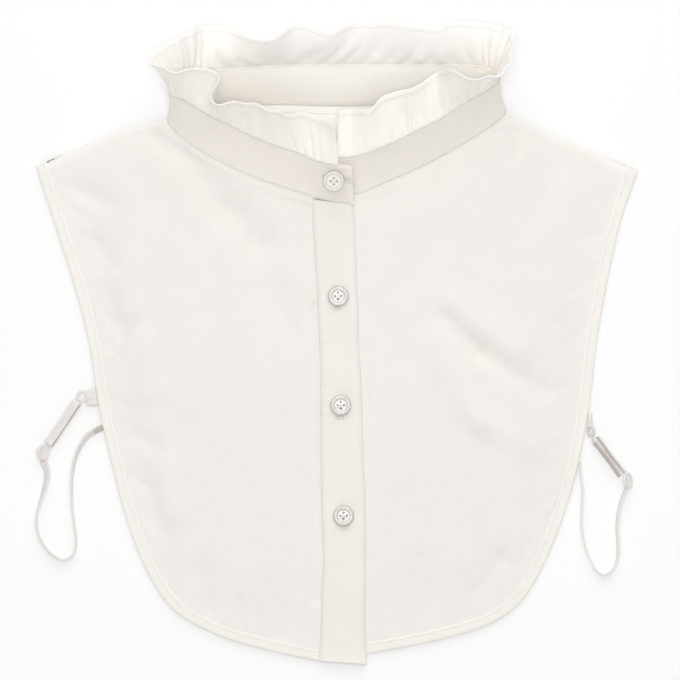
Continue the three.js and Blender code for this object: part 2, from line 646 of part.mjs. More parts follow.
function placket() {
  const grid = [];
  for (let k = 0; k <= PLACKET_STEPS; k += 1) {
    const at = (k / PLACKET_STEPS) * (placketEdges.length - 1);
    const y = columnAt(placketEdges, "y", at);
    const row = [];
    for (let c = 0; c <= PLACKET_COLUMNS; c += 1) {
      const t = c / PLACKET_COLUMNS;
      const x = mix(columnAt(placketEdges, "left", at), columnAt(placketEdges, "right", at), t);
      const topSlope = k === 0 ? PLACKET_TOP_SLOPE * (1 - t) : 0;
      row.push(new THREE.Vector3(x, y + topSlope, placketHeight(x, y)));
    }
    grid.push(row);
  }
  return add("placket", wall(grid, PLACKET_WALL), cloth);
}

// The stand collar band, rounded a little between its two edges

const BAND_COLUMNS = 84;
const BAND_ROWS = 3;
const BAND_BULGE = 1.1;
const BAND_CORNER = 3.5;
const BAND_CORNER_STATIONS = 0.22;

// How far the band's upper edge is cut down at the rounded corner of the end that lies on top
function cornerDrop(station) {
  const t = 1 - Math.min(1, station / BAND_CORNER_STATIONS);
  return BAND_CORNER * (1 - Math.sqrt(1 - t * t));
}

function bandPoint(station, share) {
  const base = seamPoint(station);
  const top = bandTop(station);
  const t = share * (1 - cornerDrop(station) / BAND_WIDTH);
  const step = 0.05;
  const along = seamPoint(station + step).sub(seamPoint(station - step)).normalize();
  const out = top.clone().sub(base).cross(along).normalize();
  return base.lerp(top, t).addScaledVector(out, -BAND_BULGE * 4 * t * (1 - t));
}

function band() {
  const last = neckStations.length - 1;
  const grid = [];
  const stations = [0, 0.03, 0.08, 0.15];
  for (let k = 1; k <= BAND_COLUMNS; k += 1) stations.push((k / BAND_COLUMNS) * last);
  for (const station of stations) {
    const row = [];
    for (let r = 0; r <= BAND_ROWS; r += 1) row.push(bandPoint(station, r / BAND_ROWS));
    grid.push(row);
  }
  return add("collar_band", wall(grid, BAND_WALL), cloth);
}

// The ruffle: its seam stands just above the band, and its free edge runs through the table of turns

const RUFFLE_START = SEAM_GAP + RUFFLE_WALL / 2 + 0.1;
const RUFFLE_ROWS = 4;
const RUFFLE_BULGE = 1.6;

function ruffleEdge(station) {
  const at = rowWhere(ruffleTurns, "station", station);
  const x = columnAt(ruffleTurns, "x", at);
  const y = columnAt(ruffleTurns, "y", at);
  const top = bandTop(station);
  const run = Math.hypot(x - top.x, y - top.y);
  const rise = Math.min(RUFFLE_RISE_LIMIT, riseOf(RUFFLE_DEPTH, run));
  return new THREE.Vector3(x, y, top.z + rise + columnAt(ruffleTurns, "lift", at));
}

// A point of the ruffle at a station, t of the way from its seam to its free edge, with the gathers'
// own height there
function rufflePoint(station, t, gather) {
  const top = bandTop(station);
  const bandUp = top.clone().sub(seamPoint(station)).normalize();
  const start = top.addScaledVector(bandUp, RUFFLE_START);
  const edge = ruffleEdge(station);
  const step = 0.04;
  const along = bandTop(station + step).sub(bandTop(station - step)).normalize();
  const out = edge.clone().sub(start).cross(along).normalize();
  const height = gather * mix(1, 0.3, t) - RUFFLE_BULGE * 4 * t * (1 - t);
  return start.lerp(edge, t).addScaledVector(out, height);
}

// Two columns for each gather, one on its ridge and one in its trough
function ruffle() {
  const columns = 2 * GATHERS;
  const grid = [];
  for (let k = 0; k <= columns; k += 1) {
    const uneven = k > 0 && k < columns ? 0.3 * Math.sin(2.7 * k) : 0;
    const station = mix(RUFFLE_FIRST_STATION, RUFFLE_LAST_STATION, (k + uneven) / columns);
    const gather = GATHER_DEPTH * (k % 2 ? 1 : -1) * (0.8 + 0.2 * Math.sin(1.3 * k));
    const row = [];
    for (let r = 0; r <= RUFFLE_ROWS; r += 1) row.push(rufflePoint(station, r / RUFFLE_ROWS, gather));
    grid.push(row);
  }
  return add("ruffle", wall(grid, RUFFLE_WALL), cloth);
}

// Buttons: a dished disc with a rim and four holes

function solidOf(geometry) {
  const plain = geometry.clone();
  plain.deleteAttribute("normal");
  plain.deleteAttribute("uv");
  const merged = mergeVertices(plain, 1e-4);
  return new wasm.Manifold(
    new wasm.Mesh({
      numProp: 3,
      vertProperties: new Float32Array(merged.attributes.position.array),
      triVerts: new Uint32Array(merged.index.array),
    }),
  );
}

function geometryOf(solid) {
  const mesh = solid.getMesh();
  const geometry = new THREE.BufferGeometry();
  geometry.setAttribute("position", new THREE.BufferAttribute(new Float32Array(mesh.vertProperties), 3));
  geometry.setIndex(new THREE.BufferAttribute(new Uint32Array(mesh.triVerts), 1));
  return geometry;
}

const BUTTON_SIDES = 20;
const HOLE_SIDES = 6;

function buttonGeometry() {
  const inner = BUTTON_RADIUS - BUTTON_RIM;
  const profile = [
    [0, 0], [BUTTON_RADIUS - BUTTON_FOOT_INSET, 0], [BUTTON_RADIUS, 0.8], [BUTTON_RADIUS, BUTTON_HEIGHT - 0.6],
    [BUTTON_RADIUS - 0.5, BUTTON_HEIGHT], [inner, BUTTON_HEIGHT], [inner - 0.7, BUTTON_HEIGHT - 0.8],
    [0, BUTTON_HEIGHT - 0.8],
  ].map(([r, z]) => new THREE.Vector2(r, z));
  const body = new THREE.LatheGeometry(profile, BUTTON_SIDES).rotateX(Math.PI / 2);
  let solid = solidOf(outwards(body.attributes.position, [...body.index.array]));
  for (let k = 0; k < 4; k += 1) {
    const angle = (k * Math.PI) / 2;
    const hole = new THREE.CylinderGeometry(BUTTON_HOLE_RADIUS, BUTTON_HOLE_RADIUS, 8, HOLE_SIDES);
    hole.rotateX(Math.PI / 2);
    hole.translate(BUTTON_HOLE_SPACING * Math.cos(angle), BUTTON_HOLE_SPACING * Math.sin(angle), 0);
    solid = solid.subtract(solidOf(hole));
  }
  return geometryOf(solid);
}

function buttons() {
  const up = new THREE.Vector3(0, 0, 1);
  for (const place of buttonPlaces) {
    const mesh = add(place.name, buttonGeometry(), clearPlastic);
    if (place.name === "button_1") {
      const seat = bandPoint(BAND_BUTTON_STATION, BAND_BUTTON_RISE);
      const step = 0.1;
      const across = bandPoint(BAND_BUTTON_STATION + step, BAND_BUTTON_RISE).sub(seat);
      const rising = bandPoint(BAND_BUTTON_STATION, BAND_BUTTON_RISE + step).sub(
        bandPoint(BAND_BUTTON_STATION, BAND_BUTTON_RISE - step),
      );
      const face = rising.cross(across).normalize();
      if (face.z < 0) face.negate();
      const facing = face.clone().lerp(up, BAND_BUTTON_LEVEL).normalize();
      const lift = (BUTTON_RADIUS - BUTTON_FOOT_INSET) * Math.sin(face.angleTo(facing));
      mesh.quaternion.setFromUnitVectors(up, facing);
      mesh.position.copy(seat.addScaledVector(face, BAND_WALL / 2 + SEAM_GAP + lift));
    } else {
      const z = placketHeight(place.x, place.y) + PLACKET_WALL / 2 + SEAM_GAP;
      mesh.position.set(place.x, place.y, z);
    }
  }
}

// Straps

function plate(shape, thickness, segments) {
  return new THREE.ExtrudeGeometry(shape, { depth: thickness, bevelEnabled: false, curveSegments: segments });
}

function radians(degrees) {
  return THREE.MathUtils.degToRad(degrees);
}

// A small tab, flat on the left and standing on edge on the right
function tab(side) {
  const size = straps[side].tab;
  const shape = new THREE.Shape();
  shape.moveTo(SEAM_GAP, -size.rootHeight / 2);
  shape.lineTo(size.length, -size.tipHeight / 2);
  shape.lineTo(size.length, size.tipHeight / 2);
  shape.lineTo(SEAM_GAP, size.rootHeight / 2);
  const geometry = plate(shape, TAB_WALL, 1).translate(0, 0, -TAB_WALL / 2);
  if (size.standing) geometry.rotateX(Math.PI / 2);
  const mesh = add("strap_tab_" + side, geometry, elastic);
  mesh.rotation.z = radians(size.turn);
  const height = size.standing ? FLOOR_GAP + size.rootHeight / 2 : FRONT_EDGE_HEIGHT;
  mesh.position.set(size.x, size.y, height);
}

function ring(side) {
  const place = straps[side].ring;
  const shape = new THREE.Shape().absarc(0, 0, RING_RADIUS, 0, 2 * Math.PI);
  shape.holes.push(new THREE.Path().absarc(0, 0, RING_HOLE_RADIUS, 0, 2 * Math.PI));
  const geometry = plate(shape, RING_WALL, 10).translate(0, 0, -RING_WALL / 2);
  const mesh = add("strap_ring_" + side, geometry, clearPlastic);
  const tilt = radians(place.tilt);
  mesh.rotation.y = -tilt;
  const tilted = FLOOR_GAP + RING_RADIUS * Math.sin(tilt) + (RING_WALL / 2) * Math.cos(tilt);
  mesh.position.set(place.x, place.y, Math.max(FRONT_EDGE_HEIGHT, tilted));
}

// The doubled stretch: out from the slider, round at the ring, and back beside the first layer
function doubled(side) {
  const size = straps[side].fold;
  const from = new THREE.Vector3(size.fromX, size.fromY, 0);
  const to = new THREE.Vector3(size.toX, size.toY, 0);
  const along = from.clone().sub(to).normalize();
  const across = new THREE.Vector3(-along.y, along.x, 0);
  const roll = radians(size.roll);
  const apart = new THREE.Vector3(0, 0, Math.cos(roll)).addScaledVector(across, Math.sin(roll));
  const width = across.clone().multiplyScalar(Math.cos(roll)).setZ(-Math.sin(roll));
  const reach = size.spread * apart.z + (STRAP_WIDTH / 2) * Math.abs(width.z);
  const height = FLOOR_GAP + reach + (STRAP_WALL / 2) * apart.z;
  const turn = [-90, -45, 0, 45, 90].map(radians);
  const line = [
    to.clone().addScaledVector(apart, -size.spread),
    ...turn.map((angle) =>
      from.clone()
        .addScaledVector(along, size.spread * Math.cos(angle))
        .addScaledVector(apart, size.spread * Math.sin(angle)),
    ),
    to.clone().addScaledVector(apart, size.spread),
  ];
  const grid = line.map((point) =>
    [-0.5, 0.5].map((half) => {
      const p = point.clone().addScaledVector(width, half * STRAP_WIDTH);
      p.z += height;
      return p;
    }),
  );
  add("strap_doubled_" + side, wall(grid, STRAP_WALL), elastic);
}

// The slider's round end, tilted as it lies
function slider(side) {
  const place = straps[side].slider;
  const shape = new THREE.Shape().absarc(0, 0, SLIDER_RADIUS, 0, 2 * Math.PI);
  const tilt = radians(place.tilt);
  const geometry = plate(shape, SLIDER_WALL, 10).translate(0, 0, -SLIDER_WALL / 2).rotateX(tilt);
  const mesh = add("strap_slider_" + side, geometry, clearPlastic);
  mesh.rotation.z = radians(place.turn);
  const height = FLOOR_GAP + SLIDER_RADIUS * Math.sin(tilt) + (SLIDER_WALL / 2) * Math.cos(tilt);
  mesh.position.set(place.x, place.y, height);
}

const LOOP_STEPS = 60;

function loop(side) {
  const rows = straps[side].loop;
  const curve = curveThrough(rows);
  const grid = [];
  for (let k = 0; k <= LOOP_STEPS; k += 1) {
    const share = k / LOOP_STEPS;
    const p = curve.getPoint(share);
    const along = curve.getTangent(share);
    const lean = radians(columnAt(rows, "lean", share * (rows.length - 1)));
    const width = new THREE.Vector3(-along.y * Math.sin(lean), along.x * Math.sin(lean), Math.cos(lean));
    const reach = Math.abs(width.z) * STRAP_WIDTH + Math.abs(Math.sin(lean)) * STRAP_WALL;
    p.z = FLOOR_GAP + reach / 2;
    grid.push([-0.5, 0.5].map((half) => p.clone().addScaledVector(width, half * STRAP_WIDTH)));
  }
  add("strap_loop_" + side, wall(grid, STRAP_WALL), elastic);
}

backPanel();
backBinding();
for (const side of ["left", "right"]) {
  frontPanel(side);
  frontBinding(side);
}
placket();
band();
ruffle();
buttons();
for (const side of ["left", "right"]) {
  tab(side);
  ring(side);
  doubled(side);
  slider(side);
  loop(side);
}

export default collar;
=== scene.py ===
"""Looks of the detachable ruffled collar, laid flat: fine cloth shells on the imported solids, with their
seams, stitches, buttons and straps, on a plain pale floor. The tables are in millimetres, in the frame
of the solids, and the meshes are made in metres."""

import math

import bpy
import numpy as np
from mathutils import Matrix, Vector


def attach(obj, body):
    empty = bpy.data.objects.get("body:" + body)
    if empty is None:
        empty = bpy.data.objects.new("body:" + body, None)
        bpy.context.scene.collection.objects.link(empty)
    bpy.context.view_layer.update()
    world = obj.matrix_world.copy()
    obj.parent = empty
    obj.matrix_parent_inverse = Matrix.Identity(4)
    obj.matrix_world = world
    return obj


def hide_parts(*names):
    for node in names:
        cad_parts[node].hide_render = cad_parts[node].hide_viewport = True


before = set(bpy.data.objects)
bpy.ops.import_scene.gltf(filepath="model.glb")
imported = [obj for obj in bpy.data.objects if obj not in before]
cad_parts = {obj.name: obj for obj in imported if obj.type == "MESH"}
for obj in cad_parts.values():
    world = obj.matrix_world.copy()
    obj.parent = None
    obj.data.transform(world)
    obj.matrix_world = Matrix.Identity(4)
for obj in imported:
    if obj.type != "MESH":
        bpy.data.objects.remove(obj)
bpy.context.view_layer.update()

MM = 0.001
BODY = "root"
SIDES = ("left", "right")

# Photograph's frame and the camera above it
PHOTO_PIXELS = 680
MM_PER_PIXEL = 0.55
PHOTO_CENTRE_X = 1.9
PHOTO_CENTRE_Y = 2.0
CAMERA_HEIGHT = 8000
SENSOR_WIDTH = 36

# Studio light
WORLD_LIGHT = 0.40
LIGHTS = (
    {"name": "key", "place": (0.15, 2.0, 2.0), "aim": (0, 0, 0), "size": 2.6, "power": 36.0},
    {"name": "fill", "place": (-0.3, -2.2, 1.7), "aim": (0, 0, 0), "size": 2.4, "power": 12.0},
    {"name": "top", "place": (0.0, 0.2, 3.0), "aim": (0, 0.1, 0), "size": 1.0, "power": 33.0},
)
FLOOR_COLOUR = (0.62, 0.62, 0.62, 1)
FLOOR_GLOW = 0.31
FLOOR_SIZE = 6000
FLOOR_DROP = 0.15

# Sizes that the solids have too
CLOTH = 1.2
SEAM_GAP = 0.3
PLACKET_WALL = 1.6
BAND_WALL = 1.6
BINDING_WIDTH = 6
BAND_WIDTH = 25
RUFFLE_DEPTH = 25
RUFFLE_RISE_LIMIT = 18
FRONT_EDGE_HEIGHT = 2.65
FRONT_PUFF = 2.2
PUFF_REACH = 40
SHOULDER_PUFF = 6
NECK_LIFT = 1.4
NECK_REACH = 26
NECK_POINT_REACH = 8
NECK_CLEARANCE = BAND_WALL / 2 + SEAM_GAP
NECK_COLUMNS = 11
SHOULDER_COLUMNS = 7
SHOULDER_RADIUS = 2.8
SHOULDER_FOOT = 0.3
BACK_INSET = 2.4
BACK_START_SHARE = 0.009
PANEL_INSET = BINDING_WIDTH + SEAM_GAP
SHOULDER_DROP = CLOTH + SEAM_GAP
SIDE_SHARE = 0.72
CENTRE_BOW = 3.4
FOLD_FADE = 16
FRONTS_MEET_X = -10.3
PLACKET_MIDDLE_X = 2
PLACKET_FADE_FROM = 14
PLACKET_FADE_OVER = 12
PLACKET_HEM_LIFT = 0.5
PLACKET_HEM_REACH = 25
PLACKET_TOP_SLOPE = 2.4
BAND_BULGE = 1.1
BAND_CORNER = 3.5
BAND_CORNER_STATIONS = 0.22
RUFFLE_BULGE = 1.6
GATHERS = 68

# Walls and edges of the fine shells
SHEET_WALL = 0.7
DOUBLED_WALL = 1.3
DOUBLED_EDGE_WALL = 0.5
RIM_REACH = 0.45
SHEET_INSET = 3.2
SHEET_NECK_CLEARANCE = 0.2
FRONT_UNDERLAP = 1.5
SEAM_ALLOWANCE = 3.9
PRESSED_WIDTH = 1.7
EDGE_STITCH_INSET = 1.75
PLACKET_DROP = 1.0
PLACKET_TOP_FROM = 60
PLACKET_FOOT_SLOPE = 1.9
PLACKET_FOOT_FROM = -160
BACK_BINDING_HEIGHT = 0.76
BACK_BINDING_LOWEST = 0.02
BACK_CLEARANCE = 0.1
STITCH_RADIUS = 0.13

# The ruffle's shell
RUFFLE_WALL = 0.45
RUFFLE_SEAM_LENGTH = 390
RUFFLE_CLOTH_LENGTH = 700
RUFFLE_HEM_WALL = 0.35
RUFFLE_HEM_FROM = 0.875
RUFFLE_HEM_STEP = 0.012
RUFFLE_HEM_ROWS = 7
BACK_MIDDLE_STATION = 11.9
BACK_STATIONS = 3.2


def table(columns, rows):
    """A table with named columns, as arrays."""
    values = np.array(rows, float)
    return {name: values[:, k] for k, name in enumerate(columns.split())}


FRONT_EDGE = {
    "left": table("x y", [
        (-165.3, 97.4), (-155.0, 65.8), (-145.0, 34.4), (-136.7, 3.1), (-130.9, -34.0), (-124.7, -61.8),
        (-115.8, -95.4), (-104.6, -124.5), (-90.0, -146.0), (-67.5, -159.4), (-42.1, -167.4),
        (-8.5, -175.0)]),
    "right": table("x y", [
        (165.8, 95.2), (156.8, 69.2), (148.9, 34.4), (143.2, 2.0), (138.8, -35.4), (133.2, -65.1),
        (126.4, -89.9), (114.1, -121.2), (100.7, -142.6), (84.9, -153.8), (56.9, -162.7),
        (-5.5, -174.6)]),
}
SHOULDER_BOW = {"left": 2, "right": 0.3}

# Rows and columns of the shells' points
FRONT_ROWS = 170
FRONT_COLUMNS = 150
FRONT_ROLL = {"share": 0.0105, "rows": 7}
BACK_ROWS = 110
BACK_ROLL = {"share": 0.03, "rows": 24}
PLACKET_ROWS = 420
PLACKET_COLUMNS = 46
BAND_CORNER_COLUMNS = 12
BAND_COLUMNS = 552
BAND_ROWS = 34
RUFFLE_COLUMNS = 1300
RUFFLE_ROWS = 30
TAB_ROWS = 14
TAB_COLUMNS = 18
LOOP_POINTS = 240

# Stations round the neck: the seam on the blouse, and the band's upper edge
NECK = table("base_x base_y base_z top_x top_y", [
    (9.3, 76.5, 8.4, 8.7, 97.2), (-8.0, 79.3, 8.4, -8.0, 99.7), (-25.6, 84.2, 7.2, -22.0, 105.3),
    (-47.6, 91.9, 6.6, -41.0, 112.0), (-66.9, 101.0, 6.0, -57.0, 119.5), (-80.6, 109.2, 5.2, -71.0, 126.4),
    (-88.9, 116.4, 4.5, -83.3, 133.9), (-92.7, 121.9, 3.8, -91.4, 137.4), (-90.5, 127.4, 3.0, -90.3, 142.8),
    (-82.3, 130.3, 2.2, -83.4, 147.6), (-69.6, 131.2, 1.7, -71.3, 150.4), (-33.9, 131.5, 1.6, -33.9, 153.5),
    (-1.4, 130.7, 1.6, -1.4, 153.9), (34.9, 131.8, 1.6, 34.9, 153.8), (73.4, 132.9, 1.7, 73.4, 153.5),
    (84.4, 132.6, 2.2, 84.4, 151.6), (91.0, 130.7, 3.0, 88.8, 148.2), (92.9, 126.3, 3.8, 88.4, 144.2),
    (88.8, 121.9, 4.6, 84.0, 140.2), (77.8, 114.2, 5.3, 71.2, 133.0), (62.4, 105.1, 5.9, 57.4, 124.1),
    (46.4, 96.6, 6.3, 42.6, 116.7), (29.9, 89.4, 6.5, 28.3, 109.7), (9.6, 81.4, 6.2, 8.4, 102.9),
    (-9.1, 82.2, 5.8, -9.6, 103.3)])
LAST_STATION = len(NECK["base_x"]) - 1
LEFT_NECK_STATION = 7.3
RIGHT_NECK_STATION = 17
FRONT_STATION = {"left": 1.16, "right": 23.98}
NECK_STATION = {"left": LEFT_NECK_STATION, "right": RIGHT_NECK_STATION}
RUFFLE_FIRST_STATION = 0.52
RUFFLE_LAST_STATION = 23.4
STATION_STEP = 0.05

# Turns of the ruffle's free edge
TURNS = table("station x y lift", [
    (0.5, -0.8, 119.0, -1), (1.05, -10.5, 124.2, 0), (1.45, -17.6, 126.6, 2), (2.0, -26.5, 125.6, -1),
    (2.6, -36.0, 128.2, 2), (3.2, -46.0, 131.6, 1), (3.75, -56.0, 132.6, -2), (4.25, -65.0, 131.3, -1),
    (4.55, -70.2, 134.0, 0), (4.85, -67.0, 140.4, 2), (5.15, -63.2, 146.0, 3), (5.45, -69.0, 149.8, 1),
    (5.8, -76.0, 151.4, 0), (6.3, -87.0, 148.6, -2), (6.8, -96.2, 151.4, 0),
    (7.3, -102.6, 155.4, 1), (8.0, -97.1, 161.2, -1), (8.7, -87.5, 166.4, 0),
    (9.4, -77.0, 172.6, 2), (9.9, -67.4, 174.2, 1), (10.25, -57.3, 172.6, -1), (10.5, -51.0, 168.2, -2),
    (10.8, -41.0, 166.2, 0), (11.1, -31.5, 167.0, 3), (11.3, -26.0, 174.6, 1), (11.6, -16.0, 174.6, 1),
    (11.95, -3.6, 169.2, -2), (12.25, 6.0, 175.0, 1), (12.6, 19.0, 176.2, 0), (13.0, 33.0, 175.6, 2),
    (13.3, 46.0, 173.4, 0), (13.5, 55.0, 170.6, -2), (13.65, 58.5, 176.0, 2), (14.0, 70.5, 176.4, 1),
    (14.7, 82.5, 175.2, -1), (15.5, 91.0, 173.0, 0), (16.3, 96.7, 169.2, 2), (17.1, 95.6, 159.5, 0),
    (17.7, 92.0, 148.6, 1), (18.4, 82.5, 145.8, 2), (19.0, 72.0, 145.6, 0), (19.6, 62.0, 150.6, 3),
    (20.3, 54.5, 148.6, 0), (20.9, 44.2, 141.0, -1), (21.6, 34.0, 138.4, 2), (22.1, 24.0, 135.0, 0),
    (22.5, 19.0, 127.8, -2), (22.95, 10.5, 129.0, 1), (23.4, 1.2, 127.4, 0)])

PLACKET = table("y left right", [
    (76.4, -13.4, 9.0), (60.0, -12.7, 10.0), (30.0, -10.4, 11.4), (0.0, -9.0, 12.2), (-30.0, -8.4, 13.6),
    (-70.0, -8.1, 15.0), (-120.0, -7.2, 16.1), (-155.0, -8.4, 15.6), (-176.0, -9.6, 16.0)])

# Straps, each from its tab and ring at the front's edge to the slider, and the free loop back
STRAP_WIDTH = 5
STRAP_WALL = 1
FLOOR_GAP = 0.2
RING_RADIUS = 3.4
RING_HOLE_RADIUS = 1.75
RING_HALF = 0.75
RING_CLEARANCE = 0.8
SLIDER_RADIUS = 4.5
SLIDER_TOP = 0.9
TABS = {
    "left": {
        "place": (-131.9, -29.0), "turn": 188.9, "length": 4.1, "root": 10.0, "tip": 7.4, "standing": False},
    "right": {
        "place": (139.4, -38.2), "turn": -88.0, "length": 6.0, "root": 5.5, "tip": 5.5, "standing": True},
}
RINGS = {"left": {"place": (-139.7, -28.9), "tilt": 0}, "right": {"place": (139.9, -48.2), "tilt": 57}}
DOUBLED = {
    "left": {"start": (-143.1, -32.8), "end": (-158.4, -55.6), "roll": 25, "spread": 1.2},
    "right": {"start": (143.1, -53.2), "end": (157.2, -72.0), "roll": 68, "spread": 1.9},
}
SLIDERS = {
    "left": {"place": (-161.2, -59.6), "turn": 80, "tilt": 40},
    "right": {"place": (160.0, -75.3), "turn": 96, "tilt": 58},
}
LOOPS = {
    "left": table("x y lean", [
        (-161.0, -65.3, 50), (-159.2, -70.6, 40), (-160.0, -77.2, 30), (-162.6, -86.0, 12),
        (-164.8, -94.3, 0), (-164.5, -102.5, 0), (-161.5, -109.7, 0), (-156.5, -115.7, 0),
        (-150.5, -118.7, 0), (-145.0, -116.3, 0), (-143.1, -109.7, 0), (-143.9, -100.9, 0),
        (-145.3, -88.8, 0), (-145.5, -75.0, 6), (-143.9, -64.0, 14), (-141.1, -56.9, 24),
        (-136.6, -50.6, 34), (-130.2, -46.8, 38)]),
    "right": table("x y lean", [
        (158.7, -80.3, 10), (155.8, -88.8, 12), (154.2, -99.8, 12), (154.8, -110.8, 12), (154.2, -119.0, 4),
        (151.5, -124.5, 0), (147.4, -127.0, 0), (143.2, -125.0, 0), (139.4, -118.6, 0), (136.1, -109.7, 0),
        (134.7, -101.0, 0), (134.7, -91.5, 0), (135.2, -80.5, 0), (134.2, -73.0, 0), (133.9, -66.8, 0)]),
}
TAB_TUCKED = 1.4
TAB_WALLS = {"left": 1.0, "right": 2.0}
TUCKED = {"start": 1.2, "end": 2.0}
# The left loop's last rings, by the front's edge, get the painted shade
PAINTED_SHADE_END_RINGS = 8

# Buttons, and the buttonholes under them
BUTTON_RADIUS = 5.75
BUTTON_HEIGHT = 2.4
BUTTON_FOOT_INSET = 1
BUTTON_HOLE_RADIUS = 0.62
BUTTON_HOLE_SPACING = 1.7
BAND_BUTTON_STATION = 0.64
BAND_BUTTON_RISE = 0.62
BAND_BUTTON_LEVEL = 0.55
BUTTONS = {"button_2": (0.9, 26.2), "button_3": (2.3, -33.8), "button_4": (3.8, -94.5)}
BAND_HOLE = {"length": 18, "shift": -2.2}
PLACKET_HOLE = {"length": 12, "shift": -1.9}
HOLE_HALF_WIDTH = 1.9
HOLE_SLIT = 0.12
HOLE_STITCH_STEP = 0.3
PLACKET_DIRECTION = (0.04, 1.0, 0.0)
# Rings of painted shade on the buttons, as distances from their middle: at the edge, and inside the opaque
# one's rim
OPAQUE_PAINTED_SHADE_RINGS = ((5.4, 9.0), (4.05, 4.3))
CLEAR_PAINTED_SHADE_RINGS = ((4.85, 9.0),)

# Soft folds of the fronts: the solids' own, then finer ones
LARGE_FOLDS = table("x0 y0 x1 y1 width height", [
    (-83.4, 105, -58.6, 73.5, 9, -1.5), (-58.6, 73.5, -41.0, 54.2, 9, -1.3),
    (-39.4, 26.7, -20.1, 2.0, 9, -1.1), (-144.0, 86, -126.0, 77, 6, -0.9),
    (-136.0, 56, -122.0, 44, 6, -0.9), (-128.0, 28, -119.0, 6, 6, -0.9),
    (-117.0, -47.5, -101.0, -56, 6, -0.9), (-106.0, -80, -95.0, -110, 7, -1),
    (-117.0, 44, -113.0, 20, 8, 1.1), (-107.0, 0, -104.0, -26, 8, 1.1), (-96.0, -66, -90.0, -92, 8, 1.1),
    (65.1, 21.2, 100.9, -3.5, 8, 1.3), (59.6, 14.0, 78.9, -5.0, 6, -1.4), (78.9, -5.0, 111.9, -25.5, 6, -1.4),
    (51.4, 0.0, 78.9, -42.0, 8, 1.2), (78.9, -42.0, 111.9, -58.5, 8, 1.1), (36.0, -20, 36.0, -75, 8, 0.9),
    (90.0, -119, 79.0, -135.5, 6, -1), (45.9, -118, 45.9, -148, 5, -0.8), (118.0, 96, 108.0, 70, 8, -0.9)])
FINE_FOLDS = table("x0 y0 x1 y1 width height", [
    (-150, 88, -139, 82, 2.6, -0.35), (-147, 76, -134, 66, 3.0, -0.4), (-140, 60, -130, 56, 2.2, -0.3),
    (-137, 48, -127, 40, 2.6, -0.4), (-131, 24, -124, 10, 2.4, -0.35), (-127, 2, -118, -8, 2.6, -0.3),
    (-123, -30, -112, -36, 2.4, -0.35), (-119, -52, -107, -52, 2.8, -0.4), (-112, -72, -103, -80, 2.4, -0.3),
    (-106, -92, -99, -104, 2.6, -0.4), (-98, -114, -92, -124, 2.2, -0.3), (-80, 60, -66, 30, 6.0, -0.35),
    (-52, 4, -40, -30, 7.0, 0.35), (-30, -40, -26, -84, 6.0, -0.3), (-70, -30, -62, -76, 8.0, 0.3),
    (-48, -86, -40, -132, 5.0, -0.35), (-76, -120, -70, -146, 3.4, -0.4), (-60, -134, -57, -152, 2.4, -0.3),
    (-34, -140, -33, -160, 2.6, -0.35), (-20, -120, -20, -158, 3.4, -0.3), (150, 82, 138, 78, 2.6, -0.35),
    (145, 60, 133, 58, 2.4, -0.35), (140, 34, 130, 28, 2.6, -0.3), (136, 8, 124, 0, 2.6, -0.4),
    (131, -22, 120, -26, 2.4, -0.3), (126, -52, 115, -60, 2.6, -0.35), (118, -82, 108, -92, 2.6, -0.3),
    (106, -110, 98, -122, 2.4, -0.4), (92, -128, 86, -142, 2.6, -0.35), (70, -128, 68, -152, 3.0, -0.35),
    (60, 60, 40, 36, 7.0, -0.35), (92, 86, 72, 60, 7.0, 0.35), (30, 30, 28, -8, 5.0, -0.3),
    (60, -70, 58, -110, 6.0, 0.3), (30, -96, 32, -140, 4.0, -0.35), (100, 30, 122, 12, 5.0, -0.3),
    (-110, 117, -84, 105, 7.0, -0.6), (-41, 54, -31, 24, 8.0, -0.8), (-102, 120, -96, 110, 4.0, -1.8),
    (97, 119, 100, 106, 4.0, -1.7), (-70, -139, -66, -156, 2.0, -0.45), (-53, -141, -50, -161, 2.0, -0.45),
    (-44, -146, -42, -163, 1.8, -0.4), (76, -122, 75, -150, 3.0, -0.5), (52, -132, 52, -158, 2.2, -0.35)])
FOLD_GAIN = 1.5
PLACKET_TROUGH = table("x0 y0 x1 y1 width height", [
    (-13.2, 20, -11.2, -140, 3.5, -1.3), (19.0, -24, 21.0, -108, 3.5, -0.6)])


# Small helpers

def ease(t):
    c = np.clip(t, 0, 1)
    return c * c * (3 - 2 * c)


def mix(a, b, t):
    return a + (b - a) * t


def lengths_along(points):
    """Distance along a line of points, from 0 at its first."""
    steps = np.linalg.norm(np.diff(points, axis=0), axis=1)
    return np.concatenate([[0], np.cumsum(steps)])


def unit(vectors):
    return vectors / np.maximum(np.linalg.norm(vectors, axis=-1, keepdims=True), 1e-9)


def column_at(values, at):
    """Smooth value of a table's column at fractional rows."""
    at = np.asarray(at, float)
    last = len(values) - 1
    i = np.clip(np.floor(at).astype(int), 0, last - 1)
    t = np.clip(at - i, 0, 1)
    start, end = values[i], values[i + 1]
    m0 = (end - values[np.maximum(0, i - 1)]) / 2
    m1 = (values[np.minimum(last, i + 2)] - start) / 2
    t2, t3 = t * t, t * t * t
    return (2 * t3 - 3 * t2 + 1) * start + (t3 - 2 * t2 + t) * m0 + (3 * t2 - 2 * t3) * end + (t3 - t2) * m1


def points_at(rows, at, names):
    return np.stack([column_at(rows[name], at) for name in names], axis=-1)


def soft_noise(x, y, cell, seed):
    """Smooth uneven values between -1 and 1, the same each run, over cells of that size."""
    random = np.random.default_rng(seed)
    grid = random.uniform(-1, 1, (256, 256))
    gx, gy = np.asarray(x) / cell + 100, np.asarray(y) / cell + 100
    ix, iy = np.floor(gx).astype(int), np.floor(gy).astype(int)
    tx, ty = ease(gx - ix), ease(gy - iy)

    def corner(a, b):
        return grid[(ix + a) % 256, (iy + b) % 256]

    return mix(mix(corner(0, 0), corner(1, 0), tx), mix(corner(0, 1), corner(1, 1), tx), ty)


